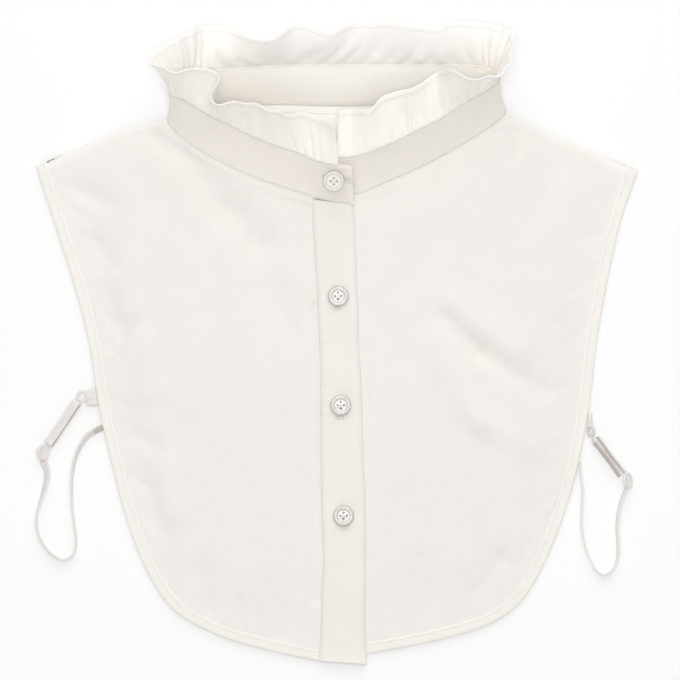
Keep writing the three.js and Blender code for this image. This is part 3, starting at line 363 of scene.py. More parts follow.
def smoothed(values, reach):
    """Values along a line with their kinks rounded over about that many neighbours."""
    step = np.arange(-3 * reach, 3 * reach + 1)
    weight = np.exp(-0.5 * (step / reach) ** 2)
    padded = np.pad(values, 3 * reach, mode="reflect", reflect_type="odd")
    return np.convolve(padded, weight / weight.sum(), mode="valid")


def distance_to_stretch(x, y, x0, y0, x1, y1):
    dx, dy = x1 - x0, y1 - y0
    t = np.clip(((x - x0) * dx + (y - y0) * dy) / (dx * dx + dy * dy + 1e-12), 0, 1)
    return np.hypot(x - x0 - dx * t, y - y0 - dy * t), t


def distance_to_line(x, y, line):
    """Nearest distance from points to a flat line of points, and the share of its rows there."""
    flat_x, flat_y = np.ravel(x)[:, None], np.ravel(y)[:, None]
    a, b = line[:-1], line[1:]
    d, t = distance_to_stretch(flat_x, flat_y, a[None, :, 0], a[None, :, 1], b[None, :, 0], b[None, :, 1])
    nearest = np.argmin(d, axis=1)
    rows = np.arange(len(nearest))
    where = (nearest + t[rows, nearest]) / len(a)
    return d[rows, nearest].reshape(np.shape(x)), where.reshape(np.shape(x))


class FlatCurve:
    """A smooth flat curve through a table's points, read by the share of its length."""

    def __init__(self, rows, samples=4000):
        p = np.stack([rows["x"], rows["y"]], axis=-1)
        p = np.vstack([2 * p[0] - p[1], p, 2 * p[-1] - p[-2]])
        last = len(p) - 3
        at = np.linspace(0, last, samples)
        i = np.minimum(at.astype(int), last - 1)
        t = (at - i)[:, None]
        p0, p1, p2, p3 = p[i], p[i + 1], p[i + 2], p[i + 3]
        spans = ((p0, p1), (p1, p2), (p2, p3))
        d0, d1, d2 = (np.sqrt(np.linalg.norm(b - a, axis=1))[:, None] for a, b in spans)
        m1 = ((p1 - p0) / d0 - (p2 - p0) / (d0 + d1) + (p2 - p1) / d1) * d1
        m2 = ((p2 - p1) / d1 - (p3 - p1) / (d1 + d2) + (p3 - p2) / d2) * d1
        c2 = -3 * p1 + 3 * p2 - 2 * m1 - m2
        c3 = 2 * p1 - 2 * p2 + m1 + m2
        self.points = p1 + m1 * t + c2 * t ** 2 + c3 * t ** 3
        self.lengths = lengths_along(self.points)
        self.length = self.lengths[-1]

    def at(self, share):
        s = np.asarray(share) * self.length
        return np.stack([np.interp(s, self.lengths, self.points[:, k]) for k in (0, 1)], axis=-1)

    def along(self, share):
        share = np.asarray(share)
        step = 2e-4
        return unit(self.at(np.clip(share + step, 0, 1)) - self.at(np.clip(share - step, 0, 1)))

    def at_rows(self, share):
        """Points by the share of the table's rows, and the direction there."""
        at = np.asarray(share) * (len(self.points) - 1)
        index = np.arange(len(self.points))
        points = np.stack([np.interp(at, index, self.points[:, k]) for k in (0, 1)], axis=-1)
        return points, unit(np.gradient(points, axis=0))

    def inset(self, share, inset, side):
        inwards = 1 if side == "left" else -1
        along = self.along(share)
        sideways = np.stack([-along[..., 1], along[..., 0]], axis=-1) * inwards
        return self.at(share) + sideways * np.asarray(inset)[..., None]


# Meshes

def new_object(name, vertices, faces, material, uv=None, normals=None):
    """An object from vertices in millimetres, riding on the part's one body."""
    mesh = bpy.data.meshes.new(name)
    mesh.from_pydata((np.asarray(vertices) * MM).tolist(), [], faces)
    if uv is not None:
        layer = mesh.uv_layers.new(name="cloth")
        corners = np.empty(len(mesh.loops), int)
        mesh.loops.foreach_get("vertex_index", corners)
        layer.data.foreach_set("uv", np.asarray(uv, np.float32)[corners].ravel() * MM)
    mesh.polygons.foreach_set("use_smooth", [True] * len(mesh.polygons))
    mesh.materials.append(material)
    if normals is None:
        mesh.validate()
    else:
        mesh.normals_split_custom_set_from_vertices(normals.tolist())
    made = bpy.data.objects.new(name, mesh)
    bpy.context.scene.collection.objects.link(made)
    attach(made, BODY)
    return made


def grid_normals(grid):
    down = np.gradient(grid, axis=0)
    across = np.gradient(grid, axis=1)
    return unit(np.cross(across, down))


def height_normals(height_at, x, y, step=0.25):
    """Upward normals of the surface z = height_at(x, y)."""
    z = height_at(x, y)
    slope_x = (height_at(x + step, y) - z) / step
    slope_y = (height_at(x, y + step) - z) / step
    return unit(np.dstack([-slope_x, -slope_y, np.ones_like(z)]))


def along_grid(grid, axis):
    """Distances along a grid of points, averaged over its rows or columns."""
    steps = np.linalg.norm(np.diff(grid, axis=axis), axis=2).mean(1 - axis)
    return np.concatenate([[0], np.cumsum(steps)])


def shell_data(grid, thickness, uv=None, normals=None):
    """Vertices, faces, uv and normals of a thin closed wall round a grid of middle points, its rim
    rounded."""
    rows, columns = grid.shape[:2]
    thickness = np.broadcast_to(thickness, (rows, columns))
    half = thickness[..., None] / 2
    from_grid = grid_normals(grid)
    if normals is None:
        normals = from_grid
    normals = normals * np.sign((normals * from_grid).sum(-1).mean())
    upper = (grid + normals * half).reshape(-1, 3)
    lower = (grid - normals * half).reshape(-1, 3)
    index = np.arange(rows * columns).reshape(rows, columns)
    ring = np.concatenate([index[0, :-1], index[:-1, -1], index[-1, :0:-1], index[:0:-1, 0]])
    outward = np.zeros_like(grid)
    outward[0] += unit(grid[0] - grid[1])
    outward[-1] += unit(grid[-1] - grid[-2])
    outward[:, 0] += unit(grid[:, 0] - grid[:, 1])
    outward[:, -1] += unit(grid[:, -1] - grid[:, -2])
    outward = unit(outward).reshape(-1, 3)[ring]
    middle = grid.reshape(-1, 3)[ring] + outward * (thickness.reshape(-1, 1)[ring] * RIM_REACH)
    count = rows * columns
    a, b = index[:-1, :-1].ravel(), index[:-1, 1:].ravel()
    c, d = index[1:, 1:].ravel(), index[1:, :-1].ravel()
    faces = np.concatenate([
        np.stack([a, b, c, d], axis=1),
        np.stack([a, d, c, b], axis=1) + count,
    ]).tolist()
    size = len(ring)
    for k in range(size):
        n = (k + 1) % size
        m0, m1 = 2 * count + k, 2 * count + n
        faces.append([int(ring[n]), int(ring[k]), m0, m1])
        faces.append([m1, m0, int(ring[k]) + count, int(ring[n]) + count])
    vertices = np.vstack([upper, lower, middle])
    if uv is None:
        uv = np.stack(np.meshgrid(along_grid(grid, 1), along_grid(grid, 0)), axis=-1)
    flat = uv.reshape(-1, 2)
    facing = normals.reshape(-1, 3)
    return vertices, faces, np.vstack([flat, flat, flat[ring]]), np.vstack([facing, -facing, outward])


def colour_faces(piece, material, chosen):
    """Gives some faces, by a slice or a list of their numbers, another material."""
    piece.data.materials.append(material)
    slots = np.zeros(len(piece.data.polygons), int)
    piece.data.polygons.foreach_get("material_index", slots)
    slots[chosen] = len(piece.data.materials) - 1
    piece.data.polygons.foreach_set("material_index", slots.tolist())


def shell(name, grid, thickness, material, uv=None, inner=None, normals=None, pressed=None):
    """A thin closed wall round a grid. When given, inner is the material of its lower face, normals
    are its middle's, and pressed marks the points of its upper face on a pressed edge, which get a paler
    colour as painted highlight."""
    vertices, faces, coordinates, facing = shell_data(grid, thickness, uv, normals)
    made = new_object(
        name, vertices, faces, material, coordinates, None if normals is None else facing)
    if inner is not None:
        side = (grid.shape[0] - 1) * (grid.shape[1] - 1)
        colour_faces(made, inner, slice(side, 2 * side))
    if pressed is not None:
        cells = (pressed[:-1, :-1] & pressed[1:, 1:]).ravel()
        colour_faces(made, painted_highlight_weave, np.flatnonzero(cells))
    return made


def tube_data(rings):
    """Vertices and faces of a closed tube through rings of points."""
    count, size = rings.shape[:2]
    index = np.arange(count * size).reshape(count, size)
    turned = np.roll(index, -1, axis=1)
    corners = (index[:-1], turned[:-1], turned[1:], index[1:])
    faces = np.stack([corner.ravel() for corner in corners], 1).tolist()
    faces.append(index[0, ::-1].tolist())
    faces.append(index[-1].tolist())
    return rings.reshape(-1, 3), faces


def join_data(parts):
    """Several lots of vertices and faces as one."""
    vertices, faces, offset = [], [], 0
    for some_vertices, some_faces in parts:
        vertices.append(some_vertices)
        faces.extend([[i + offset for i in face] for face in some_faces])
        offset += len(some_vertices)
    return np.vstack(vertices), faces


def thread_rings(line, radius, sides=6):
    """Rings round a short line of points, thinner at its two ends."""
    along = unit(np.gradient(line, axis=0))
    aside = unit(np.cross(along, np.array([0.13, 0.2, 1.0])))
    up = np.cross(aside, along)
    share = np.linspace(-1, 1, len(line))
    thick = radius * np.sqrt(np.maximum(0.12, 1 - np.abs(share) ** 4))
    angle = np.arange(sides) * 2 * math.pi / sides
    circle = np.cos(angle)[None, :, None] * aside[:, None, :] + np.sin(angle)[None, :, None] * up[:, None, :]
    return line[:, None, :] + circle * thick[:, None, None]


def sewn_piece(name, parts, material):
    """Threads, each given as its vertices and faces, as one piece."""
    vertices, faces = join_data(parts)
    made = new_object(name, vertices, faces, material)
    return made


def stitches(name, lines, length=2.3, gap=0.55, material=None):
    """Rows of separate stitches. Each line is its points on the cloth and the ways out of the cloth
    there."""
    parts = []
    for line, out in lines:
        total = lengths_along(line)
        start = gap
        while start + length < total[-1]:
            s = np.linspace(start, start + length, 5)
            points = np.stack([np.interp(s, total, line[:, k]) for k in range(3)], axis=-1)
            outwards = np.stack([np.interp(s, total, out[:, k]) for k in range(3)], axis=-1)
            rise = STITCH_RADIUS * np.array([-1.1, 0.3, 0.5, 0.3, -1.1])[:, None]
            parts.append(tube_data(thread_rings(points + outwards * rise, STITCH_RADIUS, 5)))
            start += length + gap
    return sewn_piece(name, parts, material or thread)


def grid_area(grid):
    """Area of a grid of points."""
    cells = np.cross(grid[1:, 1:] - grid[:-1, :-1], grid[1:, :-1] - grid[:-1, 1:])
    return float(np.linalg.norm(cells, axis=-1).sum() / 2)


# Materials

def set_inputs(tree, made, inputs):
    """Gives a node's inputs their values, or links them to another node's output."""
    for key, value in inputs.items():
        if isinstance(value, bpy.types.NodeSocket):
            tree.links.new(value, made.inputs[key])
        else:
            made.inputs[key].default_value = value


def node(tree, kind, inputs, **settings):
    made = tree.nodes.new(kind)
    for key, value in settings.items():
        setattr(made, key, value)
    set_inputs(tree, made, inputs)
    return made


def maths(tree, operation, *terms):
    """The outcome of some arithmetic on numbers and other nodes' outputs."""
    return node(tree, "ShaderNodeMath", dict(enumerate(terms)), operation=operation).outputs[0]


def noise(tree, place, scale, detail):
    inputs = {"Vector": place, "Scale": scale, "Detail": detail}
    return node(tree, "ShaderNodeTexNoise", inputs).outputs["Fac"]


def relief(tree, height, strength, depth):
    inputs = {"Height": height, "Strength": strength, "Distance": depth * MM}
    return node(tree, "ShaderNodeBump", inputs).outputs["Normal"]


def two_colours(tree, share, shade, shade_at, colour, colour_at):
    """A colour between two, by another node's output."""
    ramp = node(tree, "ShaderNodeValToRGB", {"Fac": share})
    first, last = ramp.color_ramp.elements
    first.position, first.color = shade_at, (*shade, 1)
    last.position, last.color = colour_at, (*colour, 1)
    return ramp.outputs["Color"]


def new_material(name):
    material = bpy.data.materials.new(name)
    material.use_nodes = True
    return material, material.node_tree, material.node_tree.nodes["Principled BSDF"]


def weave_material(name, colour, shade, glow, thread=0.3, bump=0.5, spread=(1.0, 0.97, 0.92)):
    """Plain-woven cloth: over-and-under threads, slubs, a faint change of colour and a soft sheen."""
    material, tree, shader = new_material(name)
    place = node(tree, "ShaderNodeUVMap", {}, uv_map="cloth").outputs["UV"]
    split = node(tree, "ShaderNodeSeparateXYZ", {0: place})
    turns = 2 * math.pi / (2 * thread * MM)
    scaled = [maths(tree, "MULTIPLY", split.outputs[axis], turns) for axis in ("X", "Y")]
    crossing = maths(tree, "MULTIPLY", *[maths(tree, "SINE", angle) for angle in scaled])
    slubs = []
    for stretch in ((260.0, 2600.0, 1.0), (2600.0, 260.0, 1.0)):
        mapping = node(tree, "ShaderNodeMapping", {"Vector": place, "Scale": stretch})
        slubs.append(noise(tree, mapping.outputs["Vector"], 1.0, 2.0))
    both = maths(tree, "ADD", *slubs)
    height = maths(tree, "MULTIPLY_ADD", crossing, 0.3, both)
    tone = maths(tree, "MULTIPLY_ADD", both, 0.35, noise(tree, place, 60.0, 3.0))
    set_inputs(tree, shader, {
        "Base Color": two_colours(tree, tone, shade, 0.45, colour, 1.0),
        "Normal": relief(tree, height, bump, 0.12),
        "Roughness": 0.92,
        "Specular IOR Level": 0.25,
        "Sheen Weight": 0.12,
        "Sheen Roughness": 0.6,
        "Subsurface Weight": glow,
        "Subsurface Radius": spread,
        "Subsurface Scale": 2.5 * MM,
    })
    return material


def plain_material(name, colour, roughness, grain=0.0, grain_scale=900.0, transmission=0.0,
                   shade=0.95):
    """Smooth thread or plastic with a faint grain, whose darker spots are shade times the colour."""
    material, tree, shader = new_material(name)
    place = node(tree, "ShaderNodeTexCoord", {}).outputs["Object"]
    spots = noise(tree, place, grain_scale, 2.0)
    set_inputs(tree, shader, {
        "Base Color": two_colours(tree, spots, [c * shade for c in colour], 0.3, colour, 0.7),
        "Roughness": roughness,
        "Transmission Weight": transmission,
    })
    if grain:
        set_inputs(tree, shader, {"Normal": relief(tree, spots, grain, 0.1)})
    return material


cloth = weave_material("cloth_weave", (0.90, 0.865, 0.815), (0.87, 0.835, 0.785), glow=0.3)
placket_weave = weave_material("placket_weave", (0.865, 0.83, 0.775), (0.835, 0.80, 0.745), glow=0.3)
tape_weave = weave_material("tape_weave", (0.875, 0.842, 0.785), (0.845, 0.812, 0.755), glow=0.3)
# Painted highlight: a paler copy of the cloth for the pressed edges and the bindings' inner ridges
painted_highlight_weave = weave_material("pressed_edge_painted_highlight", (0.955, 0.93, 0.875), (0.945, 0.92, 0.865), glow=0.3)
band_weave = weave_material("band_weave", (0.90, 0.846, 0.785), (0.87, 0.816, 0.755), glow=0.5)
# Painted light: a lighter copy of the cloth for the band's inner face, which lies in the neck's shade
band_inner_painted_light = weave_material("band_inner_painted_light", (0.94, 0.90, 0.85), (0.93, 0.89, 0.84), glow=0.5)
fine_cloth = weave_material(
    "ruffle_weave", (0.99, 0.95, 0.89), (0.98, 0.94, 0.88), bump=0.35, glow=0.5,
    spread=(0.9, 0.95, 1.0))
# Painted light: a lighter copy of the cloth for the back panel, seen in the neck's shade
back_painted_light = weave_material("back_painted_light", (0.99, 0.965, 0.92), (0.98, 0.955, 0.91), glow=0.4)
# A darker copy of the sewing thread for the ruffle's hem: its stitch line, plus painted shade along the
# turned hem
hem_thread_painted_shade = plain_material("hem_thread_painted_shade", (0.84, 0.81, 0.75), 0.6, grain=0.3, grain_scale=4000)
thread = plain_material("sewing_thread", (0.92, 0.885, 0.835), 0.6, grain=0.3, grain_scale=4000)
# Lit and shaded copies of the same elastic: the left straps' copy is painted darker as painted shade, the
# right straps' copy lighter as painted light
ELASTIC = {
    "left": weave_material(
        "elastic_left_painted_shade", (0.79, 0.75, 0.725), (0.72, 0.68, 0.65), thread=0.45, glow=0.3),
    "right": weave_material(
        "elastic_right_painted_light", (0.82, 0.80, 0.765), (0.75, 0.73, 0.70), thread=0.45, glow=0.3),
}
# Painted shade: a darker copy of the elastic, for stretches of strap that lie in shade
elastic_painted_shade = weave_material(
    "elastic_painted_shade", (0.60, 0.545, 0.51), (0.47, 0.42, 0.39), thread=0.45, glow=0.3)
plastic = plain_material("strap_plastic", (0.83, 0.79, 0.77), 0.35)
ring_plastic = plain_material("ring_plastic", (0.74, 0.70, 0.675), 0.4)
button_opaque = plain_material("button_opaque", (0.86, 0.83, 0.785), 0.45)
# Painted shade: darker copies of the buttons' plastic for their edges and the step inside the opaque one's
# rim
button_opaque_painted_shade = plain_material("button_opaque_painted_shade", (0.50, 0.465, 0.42), 0.5)
button_clear = plain_material("button_clear", (0.84, 0.81, 0.77), 0.14, transmission=0.06, shade=0.74)
button_clear_painted_shade = plain_material("button_clear_painted_shade", (0.68, 0.65, 0.61), 0.25, shade=0.8)


# The neck: its seam, the band's upper edge and the blouse's neckline

def seam_points(station):
    return points_at(NECK, station, ("base_x", "base_y", "base_z"))


def rise_of(depth, run):
    return np.sqrt(np.maximum(0, depth * depth - run * run))


def band_tops(station):
    base = seam_points(station)
    top = points_at(NECK, station, ("top_x", "top_y"))
    run = np.linalg.norm(top - base[..., :2], axis=-1)
    return np.concatenate([top, (base[..., 2] + rise_of(BAND_WIDTH, run))[..., None]], axis=-1)


def neckline(station, side, clear):
    """The seam moved sideways by clear, to the side where the blouse lies."""
    along = seam_points(station + STATION_STEP) - seam_points(station - STATION_STEP)
    along = unit(along[..., :2])
    p = seam_points(station)[..., :2]
    return p + np.stack([-along[..., 1], along[..., 0]], axis=-1) * clear * side


EDGES = {side: FlatCurve(FRONT_EDGE[side]) for side in SIDES}


def shoulder_line(neck_point, corner, side, count):
    t = np.linspace(0, 1, count + 1)[1:, None]
    line = mix(neck_point, corner, t)
    line[:, 1] += SHOULDER_BOW[side] * 4 * t[:, 0] * (1 - t[:, 0])
    return line


def upper_edge(side, neck_count, shoulder_count, clear, inset):
    """A front's upper edge: along the neckline, then along the shoulder."""
    station = np.linspace(FRONT_STATION[side], NECK_STATION[side], neck_count + 1)
    neck = neckline(station, 1, clear)
    corner = EDGES[side].inset(0.0, inset, side)
    return np.vstack([neck, shoulder_line(neck[-1], corner, side, shoulder_count)])


def spread_across(line, count, least=0.15):
    """The same line in evenly wide steps, none of them straight up or back."""
    steps = np.abs(np.diff(line, axis=0))
    along = np.concatenate([[0], np.cumsum(steps[:, 0] + 0.12 * steps[:, 1])])
    at = np.linspace(0, along[-1], count)
    spread = np.stack([np.interp(at, along, line[:, k]) for k in (0, 1)], axis=-1)
    outwards = np.sign(line[-1, 0] - line[0, 0])
    ramp = np.arange(count) * least
    spread[:, 0] = (np.maximum.accumulate(spread[:, 0] * outwards - ramp) + ramp) * outwards
    return spread


SOLID_UPPER = {
    side: upper_edge(side, NECK_COLUMNS, SHOULDER_COLUMNS, NECK_CLEARANCE, PANEL_INSET)
    for side in SIDES}
SHOULDERS = {side: SOLID_UPPER[side][NECK_COLUMNS:] for side in SIDES}
NECKLINE = np.vstack([
    SOLID_UPPER["left"][NECK_COLUMNS::-1], SOLID_UPPER["right"][:NECK_COLUMNS + 1]])
EDGE_SHARES = np.linspace(0, 1, 61)
OUTLINE = np.vstack([EDGES["left"].at(EDGE_SHARES), EDGES["right"].at(EDGE_SHARES)[::-1]])
SEAM_STATIONS = np.concatenate([
    np.linspace(0.9, LEFT_NECK_STATION, 90), np.linspace(RIGHT_NECK_STATION, 23.6, 90)])


def fold_heights(x, y, folds):
    total = np.zeros(np.shape(x))
    for k in range(len(folds["x0"])):
        d, _ = distance_to_stretch(x, y, folds["x0"][k], folds["y0"][k], folds["x1"][k], folds["y1"][k])
        total += folds["height"][k] * np.exp(-((d / folds["width"][k]) ** 2))
    return total


def front_heights(x, y, fine=True):
    """Height of the middle of the fronts' wall, with the fine folds or without them."""
    from_edge = distance_to_line(x, y, OUTLINE)[0] - PANEL_INSET
    from_left = distance_to_line(x, y, SHOULDERS["left"])[0]
    from_right = distance_to_line(x, y, SHOULDERS["right"])[0]
    on_left = x < FRONTS_MEET_X
    from_shoulder = np.where(on_left, from_left, from_right)
    to_neck = [np.hypot(x - SHOULDERS[side][0, 0], y - SHOULDERS[side][0, 1]) for side in SIDES]
    from_neck = distance_to_line(x, y, NECKLINE)[0]
    puff = FRONT_PUFF * ease(from_edge / PUFF_REACH) * ease((from_shoulder + SHOULDER_PUFF) / PUFF_REACH)
    lift = NECK_LIFT * np.exp(-((from_neck / NECK_REACH) ** 2)) * ease(from_edge / FOLD_FADE)
    fade = ease(from_edge / FOLD_FADE) * ease(from_shoulder / FOLD_FADE)
    from_placket = np.abs(x - PLACKET_MIDDLE_X) - PLACKET_FADE_FROM
    aside = ease(from_placket / PLACKET_FADE_OVER)
    flat = FRONT_EDGE_HEIGHT + puff + lift + fold_heights(x, y, LARGE_FOLDS) * fade * aside
    if fine:
        near = ease((from_edge + 3) / 6) * ease(from_shoulder / 8)
        uneven = 0.36 * soft_noise(x, y, 26, 3) + 0.12 * soft_noise(x, y, 9, 4)
        deeper = (FOLD_GAIN - 1) * fold_heights(x, y, LARGE_FOLDS) * fade
        flat = flat + (fold_heights(x, y, FINE_FOLDS) * near + uneven * near + deeper) * aside
        flat = flat + fold_heights(x, y, PLACKET_TROUGH) * near
    t = np.clip(1 - from_shoulder / SHOULDER_RADIUS, 0, 1)
    past_neck = ease(np.where(on_left, to_neck[0], to_neck[1]) / NECK_POINT_REACH)
    rounded = mix(SHOULDER_FOOT, flat, np.sqrt(np.maximum(0, 1 - t * t)))
    return np.where(from_shoulder < SHOULDER_RADIUS, mix(flat, rounded, past_neck), flat)


def levels_down(roll, rows):
    """Shares of the way down a panel, closer together where its upper edge rolls over."""
    return np.concatenate([
        np.linspace(0, roll["share"], roll["rows"]), np.linspace(roll["share"], 1, rows)[1:]])


def patch(upper, lower_at, inner_at, outer_at, levels):
    """Rows of flat points down a panel between its four edges."""
    share = lengths_along(upper)
    share = share / share[-1]
    lower = lower_at(share)
    inner, outer = inner_at(levels), outer_at(levels)
    v, u = levels[:, None, None], share[None, :, None]
    corners = mix(mix(upper[0], upper[-1], u), mix(lower[0], lower[-1], u), v)
    return mix(upper[None], lower[None], v) + mix(inner[:, None], outer[:, None], u) - corners


def seamed_heights(x, y):
    """Height of the middle of the fronts' shell, which rises to the band's seam and shows the edge
    of the seam allowance through the cloth beside it."""
    z = front_heights(x, y)
    seam = seam_points(SEAM_STATIONS)
    d, where = distance_to_line(x, y, seam[:, :2])
    seam_z = np.interp(where * (len(seam) - 1), np.arange(len(seam)), seam[:, 2])
    beside_placket = ease((np.abs(x - PLACKET_MIDDLE_X) - 13) / 4)
    z = mix(z, seam_z, ease(1 - d / 7) * beside_placket)
    allowance = 0.26 * np.exp(-((d - 2.5) / 0.55) ** 2) - 0.16 * np.exp(-((d - 1.5) / 0.5) ** 2)
    return z + allowance * beside_placket


def front_panel(side):
    inset = SHEET_INSET
    upper = spread_across(upper_edge(side, 160, 60, SHEET_NECK_CLEARANCE, inset), FRONT_COLUMNS)
    curve = EDGES[side]
    low = curve.inset(1.0, inset, side)
    underlap = FRONT_UNDERLAP if side == "left" else -FRONT_UNDERLAP

    def inner_at(v):
        p = mix(upper[0], low, v[:, None])
        p[:, 0] += CENTRE_BOW * np.sin(math.pi * v) + underlap
        return p

    flat = patch(
        upper,
        lambda u: curve.inset(mix(1, SIDE_SHARE, u), inset, side),
        inner_at,
        lambda v: curve.inset(v * SIDE_SHARE, inset, side),
        levels_down(FRONT_ROLL, FRONT_ROWS))
    x, y = flat[..., 0], flat[..., 1]
    grid = np.dstack([x, y, seamed_heights(x, y)])
    normals = height_normals(seamed_heights, x, y)
    normals[:2] = normals[2]  # the rolled edge keeps facing outwards to its end
    piece = shell("front_" + side + "_cloth", grid, SHEET_WALL, cloth, uv=flat, normals=normals)
    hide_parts("front_" + side)
    return piece, grid


# Bindings: a folded tape round the edge, with a stitched groove and a ridge at its inner edge
BINDING_SECTION = table("inset height", [
    (6.1, 0.28), (6.05, 0.62), (5.65, 0.84), (5.15, 0.80), (4.65, 0.58), (4.1, 0.72), (2.6, 0.80),
    (1.3, 0.76), (0.5, 0.58), (0.1, 0.25), (0.0, 0.0), (0.1, -0.25), (0.5, -0.55), (1.6, -0.72),
    (4.0, -0.74), (5.7, -0.7), (6.1, -0.28)])
GROOVE_INSET = 4.65
GROOVE_TOP = 0.62
STITCH_PITCH = 2.85
PAINTED_HIGHLIGHT_SECTION = (1, 2)
STEPS_PER_BINDING = 420


def binding_rings(side, shares, shift, middle):
    curve = EDGES[side]
    inset, height = BINDING_SECTION["inset"], BINDING_SECTION["height"]
    section = np.broadcast_to(inset + shift, (len(shares), len(inset)))
    flat = curve.inset(shares[:, None] * np.ones_like(section), section, side)
    s = shares[:, None] * curve.length
    seed = 11 if side == "left" else 12
    from_groove = section - shift - GROOVE_INSET
    pucker = 0.10 * np.sin(2 * math.pi * s / STITCH_PITCH) * np.exp(-(from_groove / 0.9) ** 2)
    wave = 0.16 * soft_noise(s, section * 0.6, 8, seed) * np.sign(height)[None, :]
    z = middle + height[None, :] + pucker + wave
    return np.dstack([flat, z])


def groove_stitches(side, shift, middle, name):
    """Stitches in the groove of a binding, on its upper face."""
    shares = np.linspace(0.004, 0.996, STEPS_PER_BINDING)
    flat = EDGES[side].inset(shares, np.full(len(shares), GROOVE_INSET + shift), side)
    line = np.column_stack([flat, np.full(len(shares), middle + GROOVE_TOP)])
    return stitches(name, [(line, np.broadcast_to((0.0, 0.0, 1.0), line.shape))])


def front_binding(side):
    shares = np.linspace(0, 1, STEPS_PER_BINDING)
    vertices, faces = tube_data(binding_rings(side, shares, 0, FRONT_EDGE_HEIGHT))
    uv = np.column_stack([
        np.repeat(shares * EDGES[side].length, len(BINDING_SECTION["inset"])),
        np.tile(BINDING_SECTION["inset"], len(shares))])
    piece = new_object("binding_front_" + side + "_tape", vertices, faces, tape_weave, uv)
    paint_inner_edge_highlight(piece, len(shares))
    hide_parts("binding_front_" + side)
    return piece


def paint_inner_edge_highlight(piece, sections):
    """Gives the ridge at a binding's inner edge a paler colour, a painted highlight."""
    points = len(BINDING_SECTION["inset"])
    first_faces = np.arange(0, points * (sections - 1), points)
    colour_faces(piece, painted_highlight_weave, np.add.outer(PAINTED_HIGHLIGHT_SECTION, first_faces).ravel())


def back_binding():
    shares = np.linspace(BACK_START_SHARE, 1, STEPS_PER_BINDING)
    left = binding_rings("left", shares, BACK_INSET, BACK_BINDING_HEIGHT)
    right = binding_rings("right", shares, BACK_INSET, BACK_BINDING_HEIGHT)[::-1]
    rings = np.concatenate([left[:-2], right[2:]])
    rings[..., 2] = np.maximum(rings[..., 2], BACK_BINDING_LOWEST)
    vertices, faces = tube_data(rings)
    length = np.repeat(np.arange(len(rings)) * 1.0, rings.shape[1])
    uv = np.column_stack([length, np.tile(BINDING_SECTION["inset"], len(rings))])
    piece = new_object("binding_back_tape", vertices, faces, tape_weave, uv)
    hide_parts("binding_back")
    return piece


def back_panel():
    inset = BACK_INSET + SHEET_INSET
    corners = {side: EDGES[side].inset(BACK_START_SHARE, inset, side) for side in SIDES}

    def shoulder(side):
        neck = SHOULDERS[side][0]
        line = np.vstack([neck[None], shoulder_line(neck, corners[side], side, 30)])
        line[:-1, 1] -= SHOULDER_DROP
        return line

    stations = np.linspace(LEFT_NECK_STATION, RIGHT_NECK_STATION, 61)[1:-1]
    neck = neckline(stations, -1, SHEET_NECK_CLEARANCE)
    upper = np.vstack([shoulder("left")[::-1], neck, shoulder("right")])
    low = {side: EDGES[side].inset(1.0, inset, side) for side in SIDES}

    def hem(u):
        left = EDGES["left"].inset(mix(SIDE_SHARE, 1, np.clip(u * 2, 0, 1)), inset, "left")
        right = EDGES["right"].inset(mix(1, SIDE_SHARE, np.clip(u * 2 - 1, 0, 1)), inset, "right")
        join = low["left"][1] - low["right"][1]
        left[:, 1] -= join * u
        right[:, 1] += join * (1 - u)
        return np.where((u < 0.5)[:, None], left, right)

    def side_at(side):
        return lambda v: EDGES[side].inset(mix(BACK_START_SHARE, SIDE_SHARE, v), inset, side)

    flat = patch(upper, hem, side_at("left"), side_at("right"), levels_down(BACK_ROLL, BACK_ROWS))
    x, y = flat[..., 0], flat[..., 1]

    def height_at(x, y):
        d, _ = distance_to_line(x, y, OUTLINE)
        from_seam, _ = distance_to_line(x, y, neck[::4])
        allowance = 0.35 * ease((SEAM_ALLOWANCE + 0.3 - from_seam) / 0.6)
        ripple = 0.22 * (1 + soft_noise(x, y, 22, 7)) * ease((d - 10) / 14)
        return SHEET_WALL / 2 + BACK_CLEARANCE + ripple + allowance

    grid = np.dstack([x, y, height_at(x, y)])
    normals = height_normals(height_at, x, y)
    # The back panel's cloth is the lighter copy, painted light
    piece = shell("back_panel_cloth", grid, SHEET_WALL, back_painted_light, uv=flat, normals=normals)
    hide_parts("back_panel")
    return piece, grid


# Placket

def placket_heights(x, y):
    """Height of the middle of the placket's wall."""
    above_hem = y - PLACKET["y"][-1]
    lift = CLOTH / 2 + SEAM_GAP + PLACKET_WALL / 2
    lift = lift + PLACKET_HEM_LIFT * np.exp(-above_hem / PLACKET_HEM_REACH)
    return front_heights(x, y, fine=False) + lift


def edge_profile(d):
    """Height of a pressed and stitched edge, by the distance in from it."""
    ridge = 0.19 * np.exp(-((d - 0.75) / 0.5) ** 2)
    groove = 0.15 * np.exp(-((d - EDGE_STITCH_INSET) / 0.55) ** 2)
    return ridge - groove


def doubled_wall(d):
    """Wall of doubled cloth, pressed thinner towards its edge."""
    return mix(DOUBLED_EDGE_WALL, DOUBLED_WALL, ease(d / PRESSED_WIDTH))


